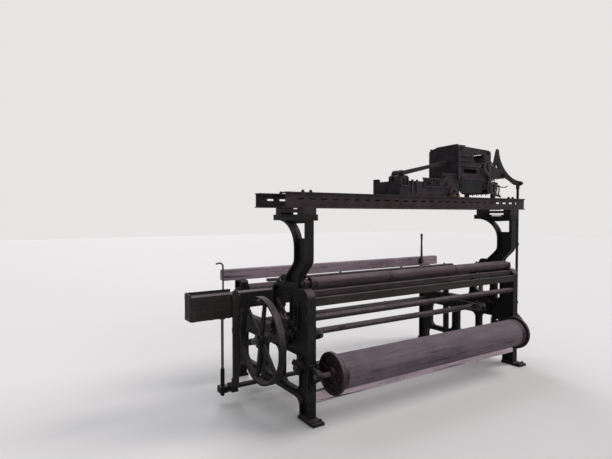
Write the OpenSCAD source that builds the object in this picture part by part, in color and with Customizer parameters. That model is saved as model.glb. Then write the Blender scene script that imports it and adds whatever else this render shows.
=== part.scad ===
// Wide power loom with an overhead dobby, seen from its warp side.
// X runs along the loom, Y from the warp side to the weaver's side, Z up; millimetres.

/* [Overall] */
// Width over the two shuttle boxes
loom_w = 3800; // [3760:10:3860]
// Depth from the warp beam flanges to the face of the breast beam
loom_d = 1500; // [1490:5:1540]
// Distance between the middles of the two side frames
frame_centres = 2450; // [2430:10:2460]

/* [Side frames] */
// Height of the back half of a side frame
frame_h = 960; // [955:1:975]
// Height of the low middle of a side frame, under the sley
dip_h = 600; // [560:5:620]
// Height of the front of a side frame, under the breast beam
front_h = 900; // [890:1:910]
// Distance from the warp beam flange edge to the frame's back edge
frame_back = 230; // [225:1:240]
// Length of the high back half
hump_l = 530; // [500:5:560]
// Length of the front leg
front_leg_l = 145; // [120:5:160]
// Width of the frame's outer rim
rim_w = 70; // [60:1:76]
// Thickness of the rim
rim_t = 16; // [12:1:20]
// Thickness of the web
web_t = 16; // [12:1:22]
// Height of the arch between the feet
arch_h = 140; // [125:5:160]
// Radius of the rounded top corner on the warp side
corner_r = 70; // [60:1:80]
// Half length of the shaft bosses
boss_half = 45; // [40:1:48]

/* [Arch posts] */
// Height of the posts, from the side frame to the top of their head plate
post_h = 545; // [530:1:570]
// Width of the posts' flanges
post_w = 70; // [60:1:80]
// Thickness of the posts' flanges
post_flange_t = 18; // [14:1:22]
// Thickness of the posts' web
post_web_t = 16; // [12:1:22]
// Depth of the neck
neck_d = 166; // [150:1:180]
// How far the foot stands behind the neck
foot_shift = 112; // [100:1:120]
// Depth of the head plate
head_d = 425; // [415:1:440]
// Width of the head plate
head_w = 130; // [120:5:140]

/* [Top rails] */
// Length of the rail on the warp side
near_rail_l = 2830; // [2780:10:2860]
// Length of the rail on the weaver's side
far_rail_l = 2930; // [2880:10:2960]
// Height of both rails
rail_h = 110; // [100:1:120]
// Depth of both rails
rail_d = 80; // [70:1:90]
// Thickness of the rails' metal
rail_t = 9; // [7:1:11]
// Number of slots along each rail
slot_n = 26; // [20:1:30]
// Length of a slot
slot_l = 58; // [40:1:62]
// Width of a slot
slot_h = 14; // [10:1:18]
// Thickness of the packing plates under the rails
packing_t = 25; // [20:1:28]

/* [Shafts] */
// Radius of the crankshaft's journals
crank_r = 25; // [22:1:28]
// Radius of the crank pins
pin_r = 22; // [20:1:24]
// Throw of the cranks
throw = 75; // [65:1:78]
// Height of the crankshaft
crank_z = 557; // [550:1:565]
// Distance from the frame's back edge to the crankshaft
crank_back = 330; // [320:1:340]
// Distance from the crankshaft back to the bottom shaft
bottom_back = 190; // [182:1:196]
// Radius of the bottom shaft
bottom_r = 22; // [20:1:26]
// Radius of the rocking shaft
rock_r = 20; // [18:1:24]
// Height of the rocking shaft
rock_z = 95; // [90:1:100]
// Distance from the crankshaft forward to the rocking shaft
rock_fwd = 400; // [395:1:410]
// Distance from the middle of the loom to each crank
crank_x = 1015; // [990:5:1030]
// Running clearance round a shaft
fit = 0.05; // [0.03:0.01:0.09]

/* [Handwheel and gears] */
// Radius of the handwheel
wheel_r = 330; // [310:1:340]
// Width of its rim
wheel_w = 50; // [40:1:56]
// Radial depth of its rim
wheel_rim = 32; // [24:1:40]
// Number of spokes
spoke_n = 6; // [5:1:8]
// Distance from the side frame's rim to the handwheel
wheel_gap = 180; // [170:1:190]
// Gear module
gear_m = 6; // [6:1:6]
// Teeth of the crank pinion
pinion_n = 30; // [30:1:30]
// Teeth of the bottom shaft gear
wheel_n = 60; // [60:1:60]
// Face width of the gears
gear_w = 30; // [24:1:34]
// Extra distance between the gear centres
gear_ease = 0.8; // [0.7:0.1:1]

/* [Sley] */
// Height of the race board's top
race_z = 870; // [865:1:880]
// Thickness of the race board
race_t = 12; // [10:1:16]
// Height of the sley beam
beam_h = 118; // [105:1:125]
// Depth of the sley beam
beam_d = 100; // [90:1:105]
// Clear height between the race board and the sley cap
reed_gap = 60; // [55:1:70]
// Height of the sley cap
cap_h = 25; // [20:1:30]
// Depth of the sley cap
cap_d = 45; // [35:1:50]
// Thickness of a sword
sword_t = 38; // [30:1:42]
// Height of the pin that joins a connecting arm to its sword
sword_pin_z = 580; // [570:1:585]
// Thickness of a connecting arm
arm_t = 38; // [30:1:40]

/* [Shuttle boxes] */
// Number of cells in the drop box
cell_n = 4; // [3:1:4]
// Height of a cell, shelf to shelf
cell_h = 60; // [50:1:60]
// How far the drop box's back stands above the race board
drop_back = 22; // [16:1:30]
// Depth of the boxes
box_d = 132; // [120:1:140]
// Length of the boxes
box_l = 380; // [360:5:390]
// Thickness of the boxes' boards
board_t = 8; // [6:1:10]
// Radius of the rod that lifts the drop box
lift_rod_r = 11; // [9:1:12]
// Width of a picking stick
stick_w = 48; // [40:1:50]
// Thickness of a picking stick
stick_t = 24; // [18:1:26]
// Height of the picking sticks' pins
stick_pin_z = 165; // [160:1:175]
// How far the picking sticks stand above the race board
stick_up = 30; // [20:1:40]

/* [Warp and cloth] */
// Radius of the warp beam's flanges
flange_r = 155; // [140:1:160]
// Width of the flanges' rims
flange_w = 24; // [20:1:28]
// Radius of the warp beam's barrel
barrel_r = 128; // [120:1:132]
// Height of the warp beam's axis
warp_z = 356; // [350:1:370]
// Distance from the middle of the loom to each flange
flange_x = 1100; // [1050:10:1115]
// Radius of the back rest roller
back_rest_r = 40; // [34:1:42]
// Height of the breast beam
breast_h = 100; // [90:1:110]
// Depth of the breast beam
breast_d = 90; // [80:1:100]
// Radius of the take-up roller
takeup_r = 58; // [50:1:60]
// Height of the take-up roller's axis
takeup_z = 800; // [790:1:805]
// Radius of the cloth roller
cloth_r = 42; // [34:1:46]
// Height of the cloth roller's axis
cloth_z = 480; // [460:1:490]
// Length of the starting handle
handle_l = 330; // [280:5:360]

/* [Cross rails] */
// Height of the timber rail behind the frames' tops
board_rail_h = 62; // [50:1:66]
// Radius of the tube below it
tube_r = 24; // [20:1:26]
// Height of the timber rail near the floor
foot_rail_h = 86; // [70:1:95]

/* [Dobby] */
// Distance from the middle of the loom to the dobby's left end
dobby_x = -333; // [-345:1:-320]
// Length of the dobby's bed
bed_l = 1270; // [1240:5:1300]
// Height of the closed box at the bed's left end
bed_h = 120; // [110:1:130]
// Length of that box
bed_box_l = 300; // [280:5:330]
// Height of the two long spars
spar_h = 80; // [70:1:90]
// Width of the spars
spar_w = 26; // [20:1:30]
// Height of the spars' undersides above the rails
spar_up = 74; // [66:1:80]
// Distance from the bed's left end to the upright end wall
wall_fwd = 703; // [695:1:712]
// Height of the end wall above the rails
wall_h = 478; // [460:1:486]
// Thickness of the end wall
wall_t = 14; // [10:1:16]
// Thickness of the pierced side plates
plate_t = 14; // [10:1:16]
// Length of the side plates, without the arms that carry the horn
plate_l = 476; // [460:2:490]
// Number of jack levers
jack_n = 12; // [8:2:12]
// Thickness of a jack lever
jack_t = 7; // [5:1:8]
// Distance from one jack lever to the next
jack_step = 18; // [16:1:19]
// Length of a jack lever's hooked arm
jack_l = 272; // [255:1:280]
// Radius of the pattern cylinder
cylinder_r = 48; // [44:1:50]
// Radius of the connecting rod to the dobby
drive_rod_r = 13; // [11:1:15]
// Half the stroke of the connecting rod
rod_throw = 62; // [56:1:66]
// Distance from the middle of the loom to the connecting rod
drive_rod_x = 1490; // [1484:1:1496]
// Length of the horn arm, from its shaft to the connecting rod
horn_l = 440; // [430:1:450]
// Height of the horn's upper prong above its shaft
horn_up = 268; // [250:1:280]
// Length of the long hand lever
lever_l = 625; // [600:1:630]
// Slope of the long hand lever
lever_tilt = 12.4; // [11:0.1:13]

/* [Hidden] */
$fn = 64;

iron = [0.20, 0.18, 0.18];
dusty_iron = [0.40, 0.34, 0.34];
bright_steel = [0.55, 0.53, 0.54];
timber = [0.48, 0.38, 0.34];
pale_timber = [0.66, 0.58, 0.56];
hide = [0.35, 0.24, 0.17];

e = 0.02;                                  // overlap of shapes joined in one solid
gap = 0.3;                                 // clearance between soft or rolling neighbours
seam = 0.3;                                // gap between parts that are bolted face to face
edge_y = -loom_d / 2 + frame_back;         // back edge of the side frames
front_y = loom_d / 2 - 5;                  // front edge of the side frames
frame_x = frame_centres / 2;
rim_in = frame_x - rim_w / 2;              // inner faces of the frames' rims
rim_out = frame_x + rim_w / 2;
hump_y = edge_y + hump_l;
leg_y = front_y - front_leg_l;

crank_y = edge_y + crank_back;
shaft_dist = gear_m * (pinion_n + wheel_n) / 2 + gear_ease;
bottom_y = crank_y - bottom_back;
bottom_z = crank_z - sqrt(shaft_dist * shaft_dist - bottom_back * bottom_back);
rock_y = crank_y + rock_fwd;
centre_line = atan2(bottom_z - crank_z, bottom_y - crank_y);
wheel_x = -rim_out - wheel_gap - wheel_w;  // outer face of the handwheel
gear_x = rim_out + boss_half - rim_w / 2 + 5;
crank_end = gear_x + gear_w + 14;
disc_x = drive_rod_x - 46;                 // inner face of the rod crank's disc

web_gap = arm_t / 2 + 1.5;                 // from a crank's middle to its webs
crank_web = 24;
sword_x = crank_x + arm_t / 2 + 1 + sword_t / 2;
sley_y = rock_y - beam_d / 2 + 10;         // back face of the sley beam
beam_top = race_z - race_t;
beam_bottom = beam_top - beam_h;
box_x = loom_w / 2;
box_in = box_x - box_l;
box_y = sley_y - 35;                       // warp side of the boxes' shelves
stick_x = box_in + 15;
stick_y = box_y - 3 - gap - stick_t;       // warp side of the sticks
lift_x = box_in + 95;

roller_y = leg_y + 50;                     // axis of the take-up and cloth rollers
post_y = edge_y + 30;                      // back face of the posts' necks
foot_z = frame_h;
post_top = frame_h + post_h;
head_t = 45;
pad_t = 15;
seat_t = 11;
rail_z = post_top + pad_t + packing_t + seat_t;
rail_top = rail_z + rail_h;
far_rail_y = post_y + head_d - 25 - rail_d;

journal_r = 15;
takeup_m = 5;
takeup_n = 34;
ratchet_n = 14;
takeup_axle = 15;
ratchet_axle = 11;
ratchet_z = takeup_z - takeup_m * (takeup_n + ratchet_n) / 2 - gear_ease;

// Extrudes a shape drawn in Y and Z along X
module along_x(x0, x1) {
    translate([x0, 0, 0]) rotate([90, 0, 90]) linear_extrude(x1 - x0) children();
}

// Extrudes a shape drawn in X and Z along Y
module along_y(y0, y1) {
    translate([0, y1, 0]) rotate([90, 0, 0]) linear_extrude(y1 - y0) children();
}

module rod_x(x0, x1, y, z, r) {
    translate([x0, y, z]) rotate([0, 90, 0]) cylinder(h = x1 - x0, r = r);
}

module rod_y(y0, y1, x, z, r) {
    translate([x, y0, z]) rotate([-90, 0, 0]) cylinder(h = y1 - y0, r = r);
}

module block(low, high) {
    translate(low) cube(high - low);
}

module both_sides() {
    children();
    mirror([1, 0, 0]) children();
}

// A rectangle from (a0, b0) to (a1, b1) whose four corners have their own radii, from bottom left round
module slab(a0, b0, a1, b1, r) {
    difference() {
        translate([a0, b0]) square([a1 - a0, b1 - b0]);
        for (c = [[a0, b0, 1, 1, r[0]], [a1, b0, -1, 1, r[1]], [a1, b1, -1, -1, r[2]], [a0, b1, 1, -1, r[3]]])
            if (c[4] > 0) difference() {
                translate([min(c[0] - c[2], c[0] + c[2] * c[4]), min(c[1] - c[3], c[1] + c[3] * c[4])])
                    square(c[4] + 1);
                translate([c[0] + c[2] * c[4], c[1] + c[3] * c[4]]) circle(c[4]);
            }
    }
}

// The quarter-round that fills an inside corner at (a, b), towards the signs given
module fillet(a, b, sa, sb, r) {
    difference() {
        translate([sa > 0 ? a - 1 : a - r, sb > 0 ? b - 1 : b - r]) square(r + 1);
        translate([a + sa * r, b + sb * r]) circle(r);
    }
}

// Openings cast through a side frame: first corner and second corner in Y and Z, and corner radius
frame_openings = [
    [edge_y + 148, 190, crank_y + 70, 450, 55],
    [crank_y + 130, 190, rock_y - 45, 450, 55],
    [rock_y + 45, 190, leg_y - 35, 450, 55],
    [edge_y + 170, dip_h + 40, crank_y - 116, frame_h - 130, 20],
    [crank_y - 45, dip_h + 90, hump_y - 60, frame_h - 75, 45]
];
// Bearings in a side frame: Y, Z, shaft radius and boss radius
bearings = [
    [crank_y, crank_z, crank_r, 62], [bottom_y, bottom_z, bottom_r, 52], [rock_y, rock_z, rock_r, 44],
    [roller_y, takeup_z, takeup_axle, 34], [roller_y, cloth_z, journal_r, 32],
    [roller_y, ratchet_z, ratchet_axle, 26]
];

module frame_outline(i) {
    low = dip_h - i;
    difference() {
        union() {
            slab(edge_y + i, 0, hump_y - i, frame_h - i, [0, 0, 60 - i, corner_r - i]);
            translate([edge_y + i, 0]) square([front_y - edge_y - 2 * i, low]);
            slab(leg_y + i, 0, front_y - i, front_h - i, [0, 0, 26 - i, 26 - i]);
            fillet(hump_y - i - e, low - e, 1, 1, 90 + i);
            fillet(leg_y + i + e, low - e, -1, 1, 70 + i);
        }
        slab(edge_y + 120 - i, -1, front_y - 110 + i, arch_h + i, [0, 0, 60, 60]);
        if (i > 0) translate([edge_y, -1]) square([loom_d, i + 1]);
    }
}

module side_frame() {
    difference() {
        union() {
            along_x(-rim_w / 2, rim_w / 2) difference() {
                frame_outline(0);
                frame_outline(rim_t);
            }
            along_x(-web_t / 2, web_t / 2) difference() {
                frame_outline(rim_t / 2);
                for (o = frame_openings) slab(o[0], o[1], o[2], o[3], [o[4], o[4], o[4], o[4]]);
            }
            along_x(-web_t / 2 - 12, web_t / 2 + 12) for (o = frame_openings) difference() {
                slab(o[0] - 12, o[1] - 12, o[2] + 12, o[3] + 12, (o[4] + 12) * [1, 1, 1, 1]);
                slab(o[0], o[1], o[2], o[3], [o[4], o[4], o[4], o[4]]);
            }
            along_x(-web_t / 2, web_t / 2)
                translate([rock_y - 40, rock_z]) square([80, arch_h - rock_z + rim_t]);
            for (b = bearings) rod_x(-boss_half, boss_half, b[0], b[1], b[3]);
            block([-50, edge_y - 90, 0], [50, edge_y + 119, 22]);
            block([-50, front_y - 109, 0], [50, front_y - 1, 22]);
        }
        for (b = bearings) rod_x(-boss_half - 1, boss_half + 1, b[0], b[1], b[2] + fit);
    }
}

// The casting is bolted together from a high back half and a low front half
joint_y = crank_y + 100;
joint_z = dip_h - 75;
joint_top_y = hump_y + 90;

module back_half() {
    color(iron) difference() {
        side_frame();
        block([-99, joint_y, -1], [99, front_y + 1, joint_z]);
        block([-99, joint_top_y, joint_z - 1], [99, front_y + 1, max(frame_h, front_h) + 1]);
    }
}

module front_half() {
    color(iron) difference() {
        side_frame();
        block([-99, edge_y - 99, -1], [99, joint_y, frame_h + 1]);
        block([-99, joint_y - 1, joint_z], [99, joint_top_y, frame_h + 1]);
    }
}

module left_side_frame() {
    mirror([1, 0, 0]) translate([frame_x, 0, 0]) back_half();
}

module right_side_frame() {
    translate([frame_x, 0, 0]) back_half();
}

module left_front_frame() {
    mirror([1, 0, 0]) translate([frame_x, 0, 0]) front_half();
}

module right_front_frame() {
    translate([frame_x, 0, 0]) front_half();
}

// Smooth step from 0 to 1 as k goes from 0 to 1
function ease(k) = let (c = max(0, min(1, k))) c * c * (3 - 2 * c);

neck_top = foot_z + 300;
foot_rise = 215;
flare_a = head_d - 25 - neck_d;
flare_b = post_top - head_t - neck_top;

// The back edge of a post, from foot to head, set in by i
function post_back(i) = [for (k = [0 : 14])
    let (h = foot_z + k * foot_rise / 14)
    [post_y + i + foot_shift * ease(1 - (h - foot_z - 60) / (foot_rise - 60)), h]];

// Its front edge, set in by i: up the neck and out along a quarter ellipse
function post_front(i) = concat(
    [for (k = [0 : 14])
        let (h = foot_z + k * foot_rise / 14)
        [post_y - i + neck_d + (foot_shift + 22) * ease(1 - (h - foot_z - 40) / (foot_rise - 40)), h]],
    [for (a = [0 : 9 : 90])
        [post_y - i + neck_d + flare_a * (1 - cos(a)), neck_top + (flare_b + i) * sin(a)]]);

module post_outline(i) {
    back = post_back(i);
    front = post_front(i);
    polygon(concat([for (p = back) p], [[post_y + i, post_top - head_t + e]],
                   [[post_y + neck_d + flare_a, post_top - head_t + e]],
                   [for (k = [len(front) - 1 : -1 : 0]) front[k]]));
}

module post_window() {
    top = post_top - head_t - post_flange_t;
    left = post_y + post_flange_t + 30;
    polygon(concat([[left, top - 112], [left, top]],
                   [for (a = [60 : -8 : 20])
                       [post_y + neck_d - post_flange_t - 16 + flare_a * (1 - cos(a)),
                        neck_top + flare_b * sin(a)]]));
}

module arch_post() {
    difference() {
        union() {
            along_x(-post_w / 2, post_w / 2) difference() {
                post_outline(0);
                post_outline(post_flange_t);
            }
            along_x(-post_web_t / 2, post_web_t / 2) difference() {
                post_outline(post_flange_t / 2);
                post_window();
            }
            block([-head_w / 2, post_y - 10, post_top - head_t], [head_w / 2, post_y + head_d, post_top]);
            block([-post_w / 2, post_y + foot_shift - 8, foot_z],
                  [post_w / 2, post_y + foot_shift + neck_d + 160, foot_z + 26]);
            along_x(-post_web_t / 2 - 6, post_web_t / 2 + 6)
                slab(post_y + foot_shift + neck_d, foot_z + 20,
                     post_y + foot_shift + neck_d + 118, foot_z + 78, [0, 0, 40, 0]);
        }
        block([-head_w / 2 - 1, post_y + rail_d + 20, post_top - 14],
              [head_w / 2 + 1, far_rail_y - 20, post_top - 8]);
    }
}

module left_arch_post() {
    color(iron) translate([-frame_x, 0, 0]) arch_post();
}

module right_arch_post() {
    color(iron) translate([frame_x, 0, 0]) arch_post();
}

// On each post: two pads, a packing plate across both rails, and a seat under each rail
module rail_packings() {
    half = head_w / 2 - 8;
    low = post_top + pad_t;
    color(dusty_iron) both_sides() translate([frame_x, 0, 0]) {
        for (y = [post_y, far_rail_y]) {
            block([-half, y, post_top], [half, y + rail_d, low + e]);
            block([-half, y, low + packing_t - e], [half, y + rail_d, rail_z]);
        }
        block([-half, post_y, low], [half, far_rail_y + rail_d, low + packing_t]);
    }
}

// A slotted rail built up from two flat bars and a web: the web faces back for d = 1 and forward for d = -1
module top_rail(l, y, d) {
    lip = 14;
    step = (l - 140) / slot_n;
    web_y = d > 0 ? y + lip : y + rail_d - lip - rail_t;
    color(dusty_iron) {
        for (z = [rail_z, rail_top - rail_t]) block([-l / 2, y, z], [l / 2, y + rail_d, z + rail_t]);
        difference() {
            block([-l / 2, web_y, rail_z + rail_t + seam], [l / 2, web_y + rail_t, rail_top - rail_t - seam]);
            for (k = [0 : slot_n - 1]) translate([-l / 2 + 70 + (k + 0.5) * step, 0, rail_z + rail_h * 0.56])
                along_y(web_y - 1, web_y + rail_t + 1) union() {
                    square([slot_l - slot_h, slot_h], center = true);
                    for (s = [-1, 1]) translate([s * (slot_l - slot_h) / 2, 0]) circle(slot_h / 2, $fn = 24);
                }
        }
    }
}

module near_top_rail() {
    top_rail(near_rail_l, post_y, 1);
}

module far_top_rail() {
    top_rail(far_rail_l, far_rail_y, -1);
}

breast_y = loom_d / 2 - breast_d;
breast_l = near_rail_l - 20;

module breast_beam() {
    color(pale_timber) along_x(-breast_l / 2, breast_l / 2)
        slab(breast_y, front_h, loom_d / 2, front_h + breast_h, [4, 4, 24, 12]);
}

module back_angle_rail() {
    top = frame_h - 16;
    y = edge_y + 30;
    color(dusty_iron) {
        block([-rim_in, y, top - 8], [rim_in, y + 52, top]);
        block([-rim_in, y, top - 34], [rim_in, y + 8, top - 8 + e]);
    }
}

module back_board_rail() {
    top = frame_h - 60;
    color(timber) along_x(-rim_in, rim_in)
        slab(edge_y, top - board_rail_h, edge_y + 30, top, [3, 3, 3, 3]);
}

module back_tube() {
    color(dusty_iron) rod_x(-rim_in, rim_in, edge_y + tube_r, frame_h - 208, tube_r);
}

module back_foot_rail() {
    color(pale_timber) along_x(-rim_in, rim_in)
        slab(edge_y, arch_h - 10, edge_y + foot_rail_d, arch_h - 10 + foot_rail_h, [4, 4, 4, 4]);
}

front_rail_up = 122;                       // above the arch between the feet
front_rail_h = 50;
foot_rail_d = 44;

module front_foot_rail() {
    z = arch_h + front_rail_up;
    color(timber) along_x(-rim_in, rim_in)
        slab(front_y - foot_rail_d, z, front_y, z + front_rail_h, [4, 4, 4, 4]);
}

module bolt_head(r, h) {
    cylinder(h = h, r = r, $fn = 6);
    cylinder(h = h + r * 0.5, r = r * 0.55, $fn = 20);
}

// Heads of the bolts that hold the cross rails, the posts and the feet
module frame_bolts() {
    head_r = 13;
    color(dusty_iron) both_sides() {
        for (z = [frame_h - 112, frame_h - 228, arch_h + 40])
            translate([frame_x + web_t / 2, edge_y + 34, z]) rotate([0, 90, 0]) bolt_head(head_r, 11);
        translate([frame_x + web_t / 2, front_y - 36, arch_h + 147]) rotate([0, 90, 0]) bolt_head(head_r, 11);
        for (x = [-22, 22]) translate([frame_x + x, post_y + foot_shift + neck_d + 142, frame_h + 26])
            bolt_head(head_r - 2, 10);
        for (x = [-32, 32]) translate([frame_x + x, edge_y - 60, 22]) bolt_head(head_r, 11);
    }
}

// Bolt heads on the top rails, over the posts
module rail_bolts() {
    color(dusty_iron) both_sides() for (x = [-34, 34], y = [post_y, far_rail_y])
        translate([frame_x + x, y + rail_d / 2, rail_top]) bolt_head(14, 12);
}

module web_shape(r0, r1) {
    r = min(r0, r1);
    translate([crank_y, crank_z]) circle(r0);
    translate([crank_y - throw, crank_z]) circle(r1);
    translate([crank_y - throw, crank_z - r]) square([throw, 2 * r]);
}

module crankshaft() {
    throw_in = crank_x - web_gap - crank_web;
    throw_out = crank_x + web_gap + crank_web;
    color(bright_steel) {
        rod_x(-throw_in - e, throw_in + e, crank_y, crank_z, crank_r);
        rod_x(throw_out - e, crank_end, crank_y, crank_z, crank_r);
        rod_x(wheel_x - 14, -throw_out + e, crank_y, crank_z, crank_r);
        both_sides() {
            rod_x(throw_in + e, throw_out - e, crank_y - throw, crank_z, pin_r);
            for (x = [throw_in, crank_x + web_gap])
                along_x(x, x + crank_web) web_shape(crank_r + 15, pin_r + 13);
        }
    }
}

// Thin rim, bossed hub and tapered spokes
module handwheel() {
    hub_r = crank_r + 30;
    mid = wheel_x + wheel_w / 2;
    color(iron) translate([0, crank_y, crank_z]) difference() {
        union() {
            translate([mid, 0, 0]) rotate([0, 90, 0]) rotate_extrude($fn = 120) difference() {
                translate([wheel_r - wheel_rim, -wheel_w / 2]) square([wheel_rim, wheel_w]);
                for (s = [-1, 1]) translate([wheel_r - wheel_rim, s * wheel_w / 2]) rotate(45)
                    square(wheel_rim * 0.7, center = true);
            }
            translate([wheel_x - 6, 0, 0]) rotate([0, 90, 0]) cylinder(h = wheel_w + 26, r = hub_r);
            for (k = [0 : spoke_n - 1]) rotate([k * 360 / spoke_n + 12, 0, 0]) along_x(mid - 9, mid + 9)
                polygon([[-24, hub_r - 12], [24, hub_r - 12], [16, wheel_r - wheel_rim * 0.6],
                         [-16, wheel_r - wheel_rim * 0.6]]);
        }
        translate([wheel_x - 10, 0, 0]) rotate([0, 90, 0]) cylinder(h = wheel_w + 40, r = crank_r + fit);
    }
}

// The outline of a spur gear: straight-flanked teeth, wider at the root than at the tip
module gear_shape(m, n, turn) {
    r = m * n / 2;
    polygon([for (k = [0 : n - 1], p = [[-0.31, -1.2], [-0.16, 0.9], [0.16, 0.9], [0.31, -1.2]])
        let (a = turn + (k + p[0]) * 360 / n) (r + p[1] * m) * [cos(a), sin(a)]]);
}

module crank_pinion() {
    color(iron) difference() {
        union() {
            along_x(gear_x, gear_x + gear_w) translate([crank_y, crank_z])
                gear_shape(gear_m, pinion_n, centre_line);
            rod_x(gear_x - 4, gear_x + gear_w + 6, crank_y, crank_z, crank_r + 18);
        }
        rod_x(gear_x - 5, gear_x + gear_w + 7, crank_y, crank_z, crank_r + fit);
    }
}

module bottom_shaft() {
    color(bright_steel) rod_x(-rim_out - 30, disc_x + 16, bottom_y, bottom_z, bottom_r);
}

module bottom_shaft_gear() {
    r = gear_m * wheel_n / 2;
    color(iron) difference() {
        union() {
            along_x(gear_x, gear_x + gear_w) translate([bottom_y, bottom_z]) difference() {
                gear_shape(gear_m, wheel_n, centre_line + 180 + 180 / wheel_n);
                for (k = [0 : 4]) rotate(k * 72) translate([r * 0.56, 0]) circle(r * 0.22);
            }
            rod_x(gear_x - 4, gear_x + gear_w + 8, bottom_y, bottom_z, bottom_r + 20);
        }
        rod_x(gear_x - 5, gear_x + gear_w + 9, bottom_y, bottom_z, bottom_r + fit);
    }
}

// Cams on the bottom shaft, one near each side frame, whose noses throw the picking sticks
module picking_tappets() {
    color(iron) for (s = [-1, 1]) difference() {
        union() {
            along_x(s * (rim_in - 48) - 17, s * (rim_in - 48) + 17)
                translate([bottom_y, bottom_z]) rotate(s * 90 - 30) {
                    circle(62);
                    polygon([[-61, 10], [-22, 96], [-10, 103], [6, 98], [58, 20], [0, -20]]);
                }
            rod_x(s * (rim_in - 48) - 24, s * (rim_in - 48) + 24, bottom_y, bottom_z, bottom_r + 16);
        }
        rod_x(s * (rim_in - 48) - 25, s * (rim_in - 48) + 25, bottom_y, bottom_z, bottom_r + fit);
    }
}

module rod_crank() {
    color(iron) difference() {
        union() {
            rod_x(disc_x, disc_x + 16, bottom_y, bottom_z, rod_throw + 24);
            rod_x(disc_x - 18, disc_x + e, bottom_y, bottom_z, bottom_r + 16);
        }
        rod_x(disc_x - 19, disc_x + 17, bottom_y, bottom_z, bottom_r + fit);
    }
}

sword_pin_y = rock_y + 10;

// Big end round the crank pin, tapered shank and the pin at the sword
module connecting_arm() {
    run = [sword_pin_y - crank_y + throw, sword_pin_z - crank_z];
    difference() {
        union() {
            rod_x(-arm_t / 2, arm_t / 2, crank_y - throw, crank_z, pin_r + 17);
            rod_x(-arm_t / 2, arm_t / 2, sword_pin_y, sword_pin_z, 27);
            rod_x(0, arm_t / 2 + 0.5, sword_pin_y, sword_pin_z, 14);
            along_x(-arm_t / 2 + 6, arm_t / 2 - 6) translate([crank_y - throw, crank_z])
                rotate(atan2(run[1], run[0]))
                polygon([[pin_r + 8, -27], [norm(run) - 22, -17], [norm(run) - 22, 17], [pin_r + 8, 27]]);
        }
        rod_x(-arm_t, arm_t, crank_y - throw, crank_z, pin_r + fit);
    }
}

module left_connecting_arm() {
    color(iron) mirror([1, 0, 0]) translate([crank_x, 0, 0]) connecting_arm();
}

module right_connecting_arm() {
    color(iron) translate([crank_x, 0, 0]) connecting_arm();
}

lift_y = box_y + box_d / 2;

// The shaft, with the shoes that carry the picking sticks and the guide of the drop box rod
module rocking_shaft() {
    cheek_y = stick_y + stick_t + gap;
    color(iron) {
        rod_x(-lift_x + lift_rod_r + 1, stick_x + 40, rock_y, rock_z, rock_r);
        both_sides() {
            rod_x(stick_x - 26, stick_x + 26, rock_y, rock_z, rock_r + 18);
            block([stick_x - 26, cheek_y, rock_z - 20], [stick_x + 26, rock_y - rock_r + 4, rock_z + 26]);
            block([stick_x - 26, cheek_y, rock_z + 20], [stick_x + 26, cheek_y + 16, stick_pin_z + 24]);
            rod_y(stick_y - 10, cheek_y + 4, stick_x, stick_pin_z, 9);
        }
        difference() {
            union() {
                translate([-lift_x, lift_y, rock_z - 48]) cylinder(h = 215, r = lift_rod_r + 6);
                block([-lift_x - 30, lift_y - 30, rock_z - 26], [-lift_x + 34, lift_y + 40, rock_z + 26]);
            }
            translate([-lift_x, lift_y, rock_z - 49]) cylinder(h = 217, r = lift_rod_r + fit);
        }
    }
}

module sword() {
    difference() {
        union() {
            rod_x(-sword_t / 2, sword_t / 2, rock_y, rock_z, rock_r + 24);
            along_x(-sword_t / 2 + 6, sword_t / 2 - 6)
                polygon([[rock_y - 30, rock_z], [rock_y - 24, beam_bottom], [rock_y + 36, beam_bottom],
                         [rock_y + 30, rock_z]]);
            rod_x(-sword_t / 2, sword_t / 2, sword_pin_y, sword_pin_z, 26);
            block([-sword_t / 2, sley_y + 8, beam_bottom - 26],
                  [sword_t / 2, sley_y + beam_d - 8, beam_bottom]);
        }
        rod_x(-sword_t, sword_t, rock_y, rock_z, rock_r + fit);
    }
}

module left_sword() {
    color(iron) translate([-sword_x, 0, 0]) sword();
}

module right_sword() {
    color(iron) translate([sword_x, 0, 0]) sword();
}

module sley_beam() {
    color(timber) along_x(-box_in + 15, box_x - 10)
        slab(sley_y, beam_bottom, sley_y + beam_d, beam_top, [8, 8, 2, 2]);
}

module race_board() {
    color(timber) {
        block([-box_in + 15, sley_y - 6, beam_top], [box_in - e, sley_y + beam_d - 6, race_z]);
        block([box_in, box_y, beam_top], [box_x - 10, box_y + box_d, race_z]);
        block([box_in - 1, sley_y - 6, beam_top], [box_in + 1, sley_y + beam_d - 6, race_z]);
    }
}

cap_y = sley_y + beam_d - 5 - cap_d;

module sley_cap() {
    low = race_z + reed_gap;
    color(timber) along_x(-rim_in + 10, rim_in - 10)
        slab(cap_y, low, cap_y + cap_d, low + cap_h, [2, 2, 8, 8]);
}

module sley_cap_brackets() {
    color(iron) both_sides() for (x = [rim_in / 3, sword_x]) {
        block([x - 16, cap_y + 6, race_z], [x + 16, cap_y + 14, race_z + reed_gap]);
        block([x - 16, cap_y + 6, race_z], [x + 16, cap_y + cap_d - 8, race_z + 8]);
        block([x - 16, cap_y + 6, race_z + reed_gap - 8], [x + 16, cap_y + cap_d - 8, race_z + reed_gap]);
    }
}

drop_low = race_z - (cell_n - 1) * cell_h - board_t;

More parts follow.
